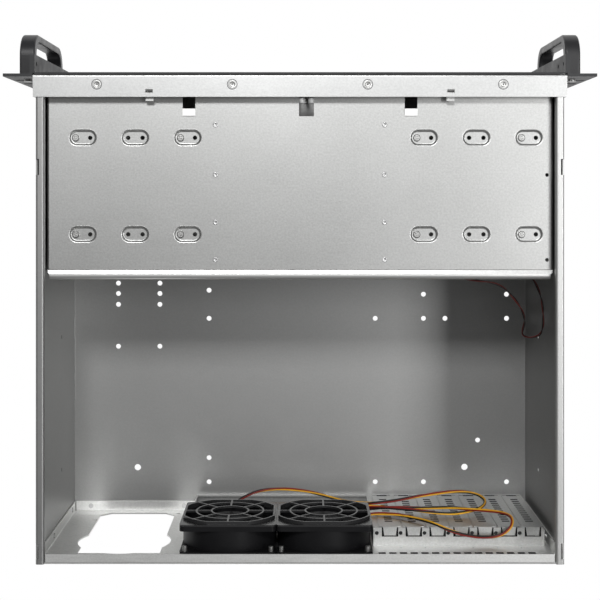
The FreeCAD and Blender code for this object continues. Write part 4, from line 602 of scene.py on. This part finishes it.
def notch_hems(tree, x, y, z):
    """The folded hems behind the two notches of the cage plate."""
    return all_of(tree, within(tree, arithmetic(tree, "ABSOLUTE", x), middle=0.091, half=0.0053),
                  within(tree, y, middle=-0.15145, half=0.0030), within(tree, z, middle=0.1675, half=0.0009))


def rolled_edge(tree, x, y, z):
    """The turned-down edge at the back of the cage plate."""
    return all_of(tree, within(tree, y, middle=-0.0150, half=0.0036),
                  within(tree, z, middle=0.1640, half=0.0040))


def screw_rings(tree, x, y, z):
    """A thin ring of painted shade round each strip screw: |X| folded to one seat, then the distance from it.
    """
    sideways = arithmetic(tree, "ABSOLUTE", x)
    folded = arithmetic(tree, "ABSOLUTE", arithmetic(tree, "SUBTRACT", sideways, SEAT_PAIR_MIDDLE))
    across = arithmetic(tree, "SUBTRACT", folded, SEAT_PAIR_HALF)
    along = arithmetic(tree, "SUBTRACT", y, MILLIMETRE * STRIP_Y)
    squares = [arithmetic(tree, "MULTIPLY", side, side) for side in (across, along)]
    distance = arithmetic(tree, "SQRT", arithmetic(tree, "ADD", *squares))
    return all_of(tree, within(tree, distance, RING_RADIUS, RING_HALF),
                  within(tree, z, middle=0.1765, half=0.0010))


# Painted shade: a dark grey ring round each strip screw.
strip_steel = marked_steel("strip_steel", PAINTED_LIGHT_BRIGHT, RING_SHADE_GREY, [screw_rings])
# Painted shade: black in the cover vents, the tail slots, the tab gaps and the rear vents.
cover_steel = marked_steel("cover_steel", SHEET, CUT_SHADE_BLACK, [cover_vents])
recess_steel = marked_steel("recess_steel", SHEET, CUT_SHADE_BLACK, [tail_slots, tab_seats])
rear_steel = marked_steel("rear_steel", PAINTED_LIGHT_PALE, CUT_SHADE_BLACK, [rear_vents])
# Painted highlight: pale on the cage's notch hems and on its rolled edge.
cage_steel = marked_steel("cage_steel", SHEET, HEM_HIGHLIGHT_PALE, [notch_hems, rolled_edge])
print("marked steels made")

# %% [markdown]
# The front is steel with a thin black powder coat, baked to a skin with fine lumps like orange peel.
# The bay covers, fans and buttons are moulded black plastic, a touch browner and smoother.

# %% Black finishes

def dark_finish(name, dark, light, rough_low, rough_high, lump, lump_height, specular=0.45):
    """A near-black skin with slow tone changes and fine lumps, lump of them to a metre."""
    surface, tree, shader, place = new_surface(name, 0.0, specular)
    tone = spread(tree, noise(tree, place, 22.0, 3.0), 0.0, 1.0)
    tree.links.new(tinted(tree, tone, dark, light), shader.inputs["Base Color"])
    rough = spread(tree, noise(tree, place, 70.0, 3.0), rough_low, rough_high)
    tree.links.new(rough, shader.inputs["Roughness"])
    add_bump(tree, shader, noise(tree, place, lump, 2.0), 0.25, lump_height)
    return surface


powder_coat = dark_finish("powder_coat", (0.020, 0.021, 0.023), (0.030, 0.031, 0.033),
                          0.42, 0.55, 1500.0, 0.0002)
handle_coat = dark_finish("handle_coat", (0.020, 0.020, 0.022), (0.028, 0.028, 0.030),
                          0.32, 0.42, 1100.0, 0.0001)
cover_plastic = dark_finish("cover_plastic", (0.022, 0.022, 0.023), (0.030, 0.030, 0.031),
                            0.45, 0.6, 2200.0, 0.0001)
fan_plastic = dark_finish("fan_plastic", (0.006, 0.006, 0.007), (0.010, 0.010, 0.011),
                          0.38, 0.5, 900.0, 0.0001, 0.18)
guard_plastic = dark_finish("guard_plastic", (0.022, 0.022, 0.023), (0.034, 0.034, 0.035),
                            0.2, 0.3, 900.0, 0.0001)
print("black finishes made")

# %% [markdown]
# Wire insulation is soft coloured vinyl with a low shine. The connectors are pale nylon, the lights
# are clear drops of plastic, and the socket shells are plated like the case.

# %% Vinyl and nylon

def vinyl(name, colour, rough=0.38, specular=0.4):
    """Soft plastic whose tone drifts a little along its length."""
    surface, tree, shader, place = new_surface(name, 0.0, specular)
    tone = spread(tree, noise(tree, place, 130.0, 2.0), 0.0, 1.0)
    darker = tuple(0.8 * channel for channel in colour)
    tree.links.new(tinted(tree, tone, darker, colour), shader.inputs["Base Color"])
    tree.links.new(spread(tree, noise(tree, place, 300.0), rough, rough + 0.1), shader.inputs["Roughness"])
    return surface


yellow_vinyl = vinyl("yellow_vinyl", (0.95, 0.50, 0.03))
red_vinyl = vinyl("red_vinyl", (0.26, 0.016, 0.010))
maroon_vinyl = vinyl("maroon_vinyl", (0.13, 0.016, 0.012))
black_vinyl = vinyl("black_vinyl", (0.016, 0.014, 0.014))
pale_nylon = vinyl("pale_nylon", (0.74, 0.72, 0.66), 0.45)
switch_black = vinyl("switch_black", (0.03, 0.03, 0.03), 0.5)
clear_lens = vinyl("clear_lens", (0.78, 0.82, 0.80), 0.12, 0.6)
print("vinyl made")

# %% [markdown]
# Each solid gets one finish. A few are named one by one, and the rest go by how their names start or
# end. What is left over is plain sheet steel. The modelled heads and shoulders are dressed here too.

# %% Finishes on the solids
FINISH_OF = {
    "front_panel": powder_coat, "ear_right": powder_coat, "ear_left": powder_coat,
    "handle_right": handle_coat, "handle_left": handle_coat,
    "power_button": cover_plastic, "reset_button": cover_plastic,
    "base_tray": tray_steel, "rear_panel": rear_steel, "io_bracket": recess_steel,
    "drive_cage": cage_steel,
    "front_frame": strip_steel, "top_rail": sheet_steel,
    "switches": switch_black, "indicator_lenses": clear_lens, "usb_sockets": bright_painted_light_steel,
    "fan_connectors": pale_nylon, "panel_connector": pale_nylon,
    "cage_rivets": rivet_alloy, "rear_rivets": rivet_alloy,
}
FINISH_BY_START = {"slot_cover": cover_steel, "bay_cover": cover_plastic}
FINISH_BY_END = {"guard": guard_plastic, "frame": fan_plastic, "rotor": fan_plastic, "screws": screw_steel}


def finish_for(name):
    """The finish of a solid by its whole name, else by the name's start or end, else sheet steel."""
    if name in FINISH_OF:
        return FINISH_OF[name]
    for start, finish in FINISH_BY_START.items():
        if name.startswith(start):
            return finish
    for end, finish in FINISH_BY_END.items():
        if name.endswith(end):
            return finish
    return sheet_steel


for name, node in nodes.items():
    node.data.materials.clear()
    node.data.materials.append(finish_for(name))
print("finished", len(nodes), "solids")

for name, (piece, dark) in HEADS.items():
    piece.data.materials.append(rivet_alloy if name == "rivet_heads" else screw_steel)
    piece.data.materials.append(painted_shade_steel)
    piece.data.polygons.foreach_set("material_index", dark)
hollow_shoulders.data.materials.append(cage_steel)

# %% [markdown]
# Each strand of a lead has a material slot of its own, in the order in which the strands were swept.

# %% Colours of the strands
for name, colours in (("fan_1_wires", (yellow_vinyl, red_vinyl, black_vinyl)),
                      ("fan_2_wires", (yellow_vinyl, red_vinyl, black_vinyl)),
                      ("panel_wires", (black_vinyl, maroon_vinyl))):
    piece, slots, _, _ = LEADS[name]
    for colour in colours:
        piece.data.materials.append(colour)
    piece.data.polygons.foreach_set("material_index", slots)

# %% [markdown]
# The floor is a pale sheet, pure white to the camera. One patch of it, behind the connector recess,
# is painted dark as a painted shadow, so that the gaps between the slot covers read black from above.
# No light makes that patch, and from behind the case it can be seen as a dark shape. Its edge comes
# from a box's distance: how far a point lies outside the patch, in widths of a fade.

# %% Floor and light
FLOOR_HALF, FLOOR_DROP = 3.0, 0.0005
# The patch behind the recess is a painted shadow: its span, its fade and its tone.
NOOK_X, NOOK_Y = (-0.222, 0.098), (0.200, 0.256)
NOOK_FADE_X, NOOK_FADE_Y = 0.012, 0.007
NOOK_SHADOW_TONE = 0.03
WORLD_LIGHT = 0.19
LAMP_TARGET = (0.0, 0.0, 0.1)
floor = mesh_piece("floor", np.array([[-FLOOR_HALF, -FLOOR_HALF, 0.0], [FLOOR_HALF, -FLOOR_HALF, 0.0],
                                      [FLOOR_HALF, FLOOR_HALF, 0.0], [-FLOOR_HALF, FLOOR_HALF, 0.0]])
                   - [0.0, 0.0, FLOOR_DROP], [[0, 1, 2, 3]], smooth=False)
floor_look = bpy.data.materials.new("pale_floor")
floor_look.use_nodes = True
tree = floor_look.node_tree
shader = tree.nodes["Principled BSDF"]
shader.inputs["Base Color"].default_value = (0.9, 0.9, 0.9, 1.0)
shader.inputs["Roughness"].default_value = 0.9
path_kind = tree.nodes.new("ShaderNodeLightPath")
glow = tree.nodes.new("ShaderNodeEmission")
glow.inputs["Strength"].default_value = 1.0


def outside(coordinate, low, high, fade):
    """How far a floor point lies past a span of one axis, in widths of the fade."""
    before = arithmetic(tree, "MULTIPLY_ADD", coordinate, -1.0 / fade, low / fade)
    after = arithmetic(tree, "MULTIPLY_ADD", coordinate, 1.0 / fade, -high / fade)
    return arithmetic(tree, "MAXIMUM", before, after)


parts = tree.nodes.new("ShaderNodeSeparateXYZ")
tree.links.new(tree.nodes.new("ShaderNodeTexCoord").outputs["Object"], parts.inputs["Vector"])
past_edge = arithmetic(tree, "MAXIMUM", outside(parts.outputs["X"], *NOOK_X, NOOK_FADE_X),
                       outside(parts.outputs["Y"], *NOOK_Y, NOOK_FADE_Y))
paleness = tree.nodes.new("ShaderNodeMapRange")
paleness.interpolation_type = "SMOOTHSTEP"
paleness.inputs["To Min"].default_value = NOOK_SHADOW_TONE
tree.links.new(past_edge, paleness.inputs["Value"])
tree.links.new(paleness.outputs["Result"], glow.inputs["Color"])
blend_look = tree.nodes.new("ShaderNodeMixShader")
seen_or_mirrored = arithmetic(tree, "MAXIMUM", path_kind.outputs["Is Camera Ray"],
                              path_kind.outputs["Is Glossy Ray"])
tree.links.new(seen_or_mirrored, blend_look.inputs["Fac"])
tree.links.new(shader.outputs["BSDF"], blend_look.inputs[1])
tree.links.new(glow.outputs["Emission"], blend_look.inputs[2])
tree.links.new(blend_look.outputs["Shader"], tree.nodes["Material Output"].inputs["Surface"])
floor.data.materials.append(floor_look)

world = bpy.data.worlds.new("studio")
bpy.context.scene.world = world
world.use_nodes = True
backdrop = world.node_tree.nodes["Background"]
seen = world.node_tree.nodes.new("ShaderNodeMapRange")
seen.inputs["To Min"].default_value = WORLD_LIGHT
seen.inputs["To Max"].default_value = 1.0
sight = world.node_tree.nodes.new("ShaderNodeLightPath")
world.node_tree.links.new(sight.outputs["Is Camera Ray"], seen.inputs["Value"])
world.node_tree.links.new(seen.outputs["Result"], backdrop.inputs["Strength"])
backdrop.inputs["Color"].default_value = (1.0, 1.0, 1.0, 1.0)


def soft_lamp(name, place, target, length, width, power):
    """A lit panel at a place, facing a target, its length level with the floor."""
    data = bpy.data.lights.new(name, "AREA")
    data.shape = "RECTANGLE"
    data.size = length
    data.size_y = width
    data.energy = power
    lamp = bpy.data.objects.new(name, data)
    lamp.location = place
    lamp.rotation_euler = (Vector(target) - Vector(place)).to_track_quat("-Z", "Y").to_euler()
    bpy.context.scene.collection.objects.link(lamp)
    return lamp


soft_lamp("side_lamp", (-1.49, -0.10, 2.65), LAMP_TARGET, length=1.1, width=0.65, power=26.0)
soft_lamp("front_lamp", (0.22, -1.26, 2.65), LAMP_TARGET, length=0.42, width=0.42, power=34.0)
bpy.context.scene.view_settings.view_transform = "Standard"
print("lit")
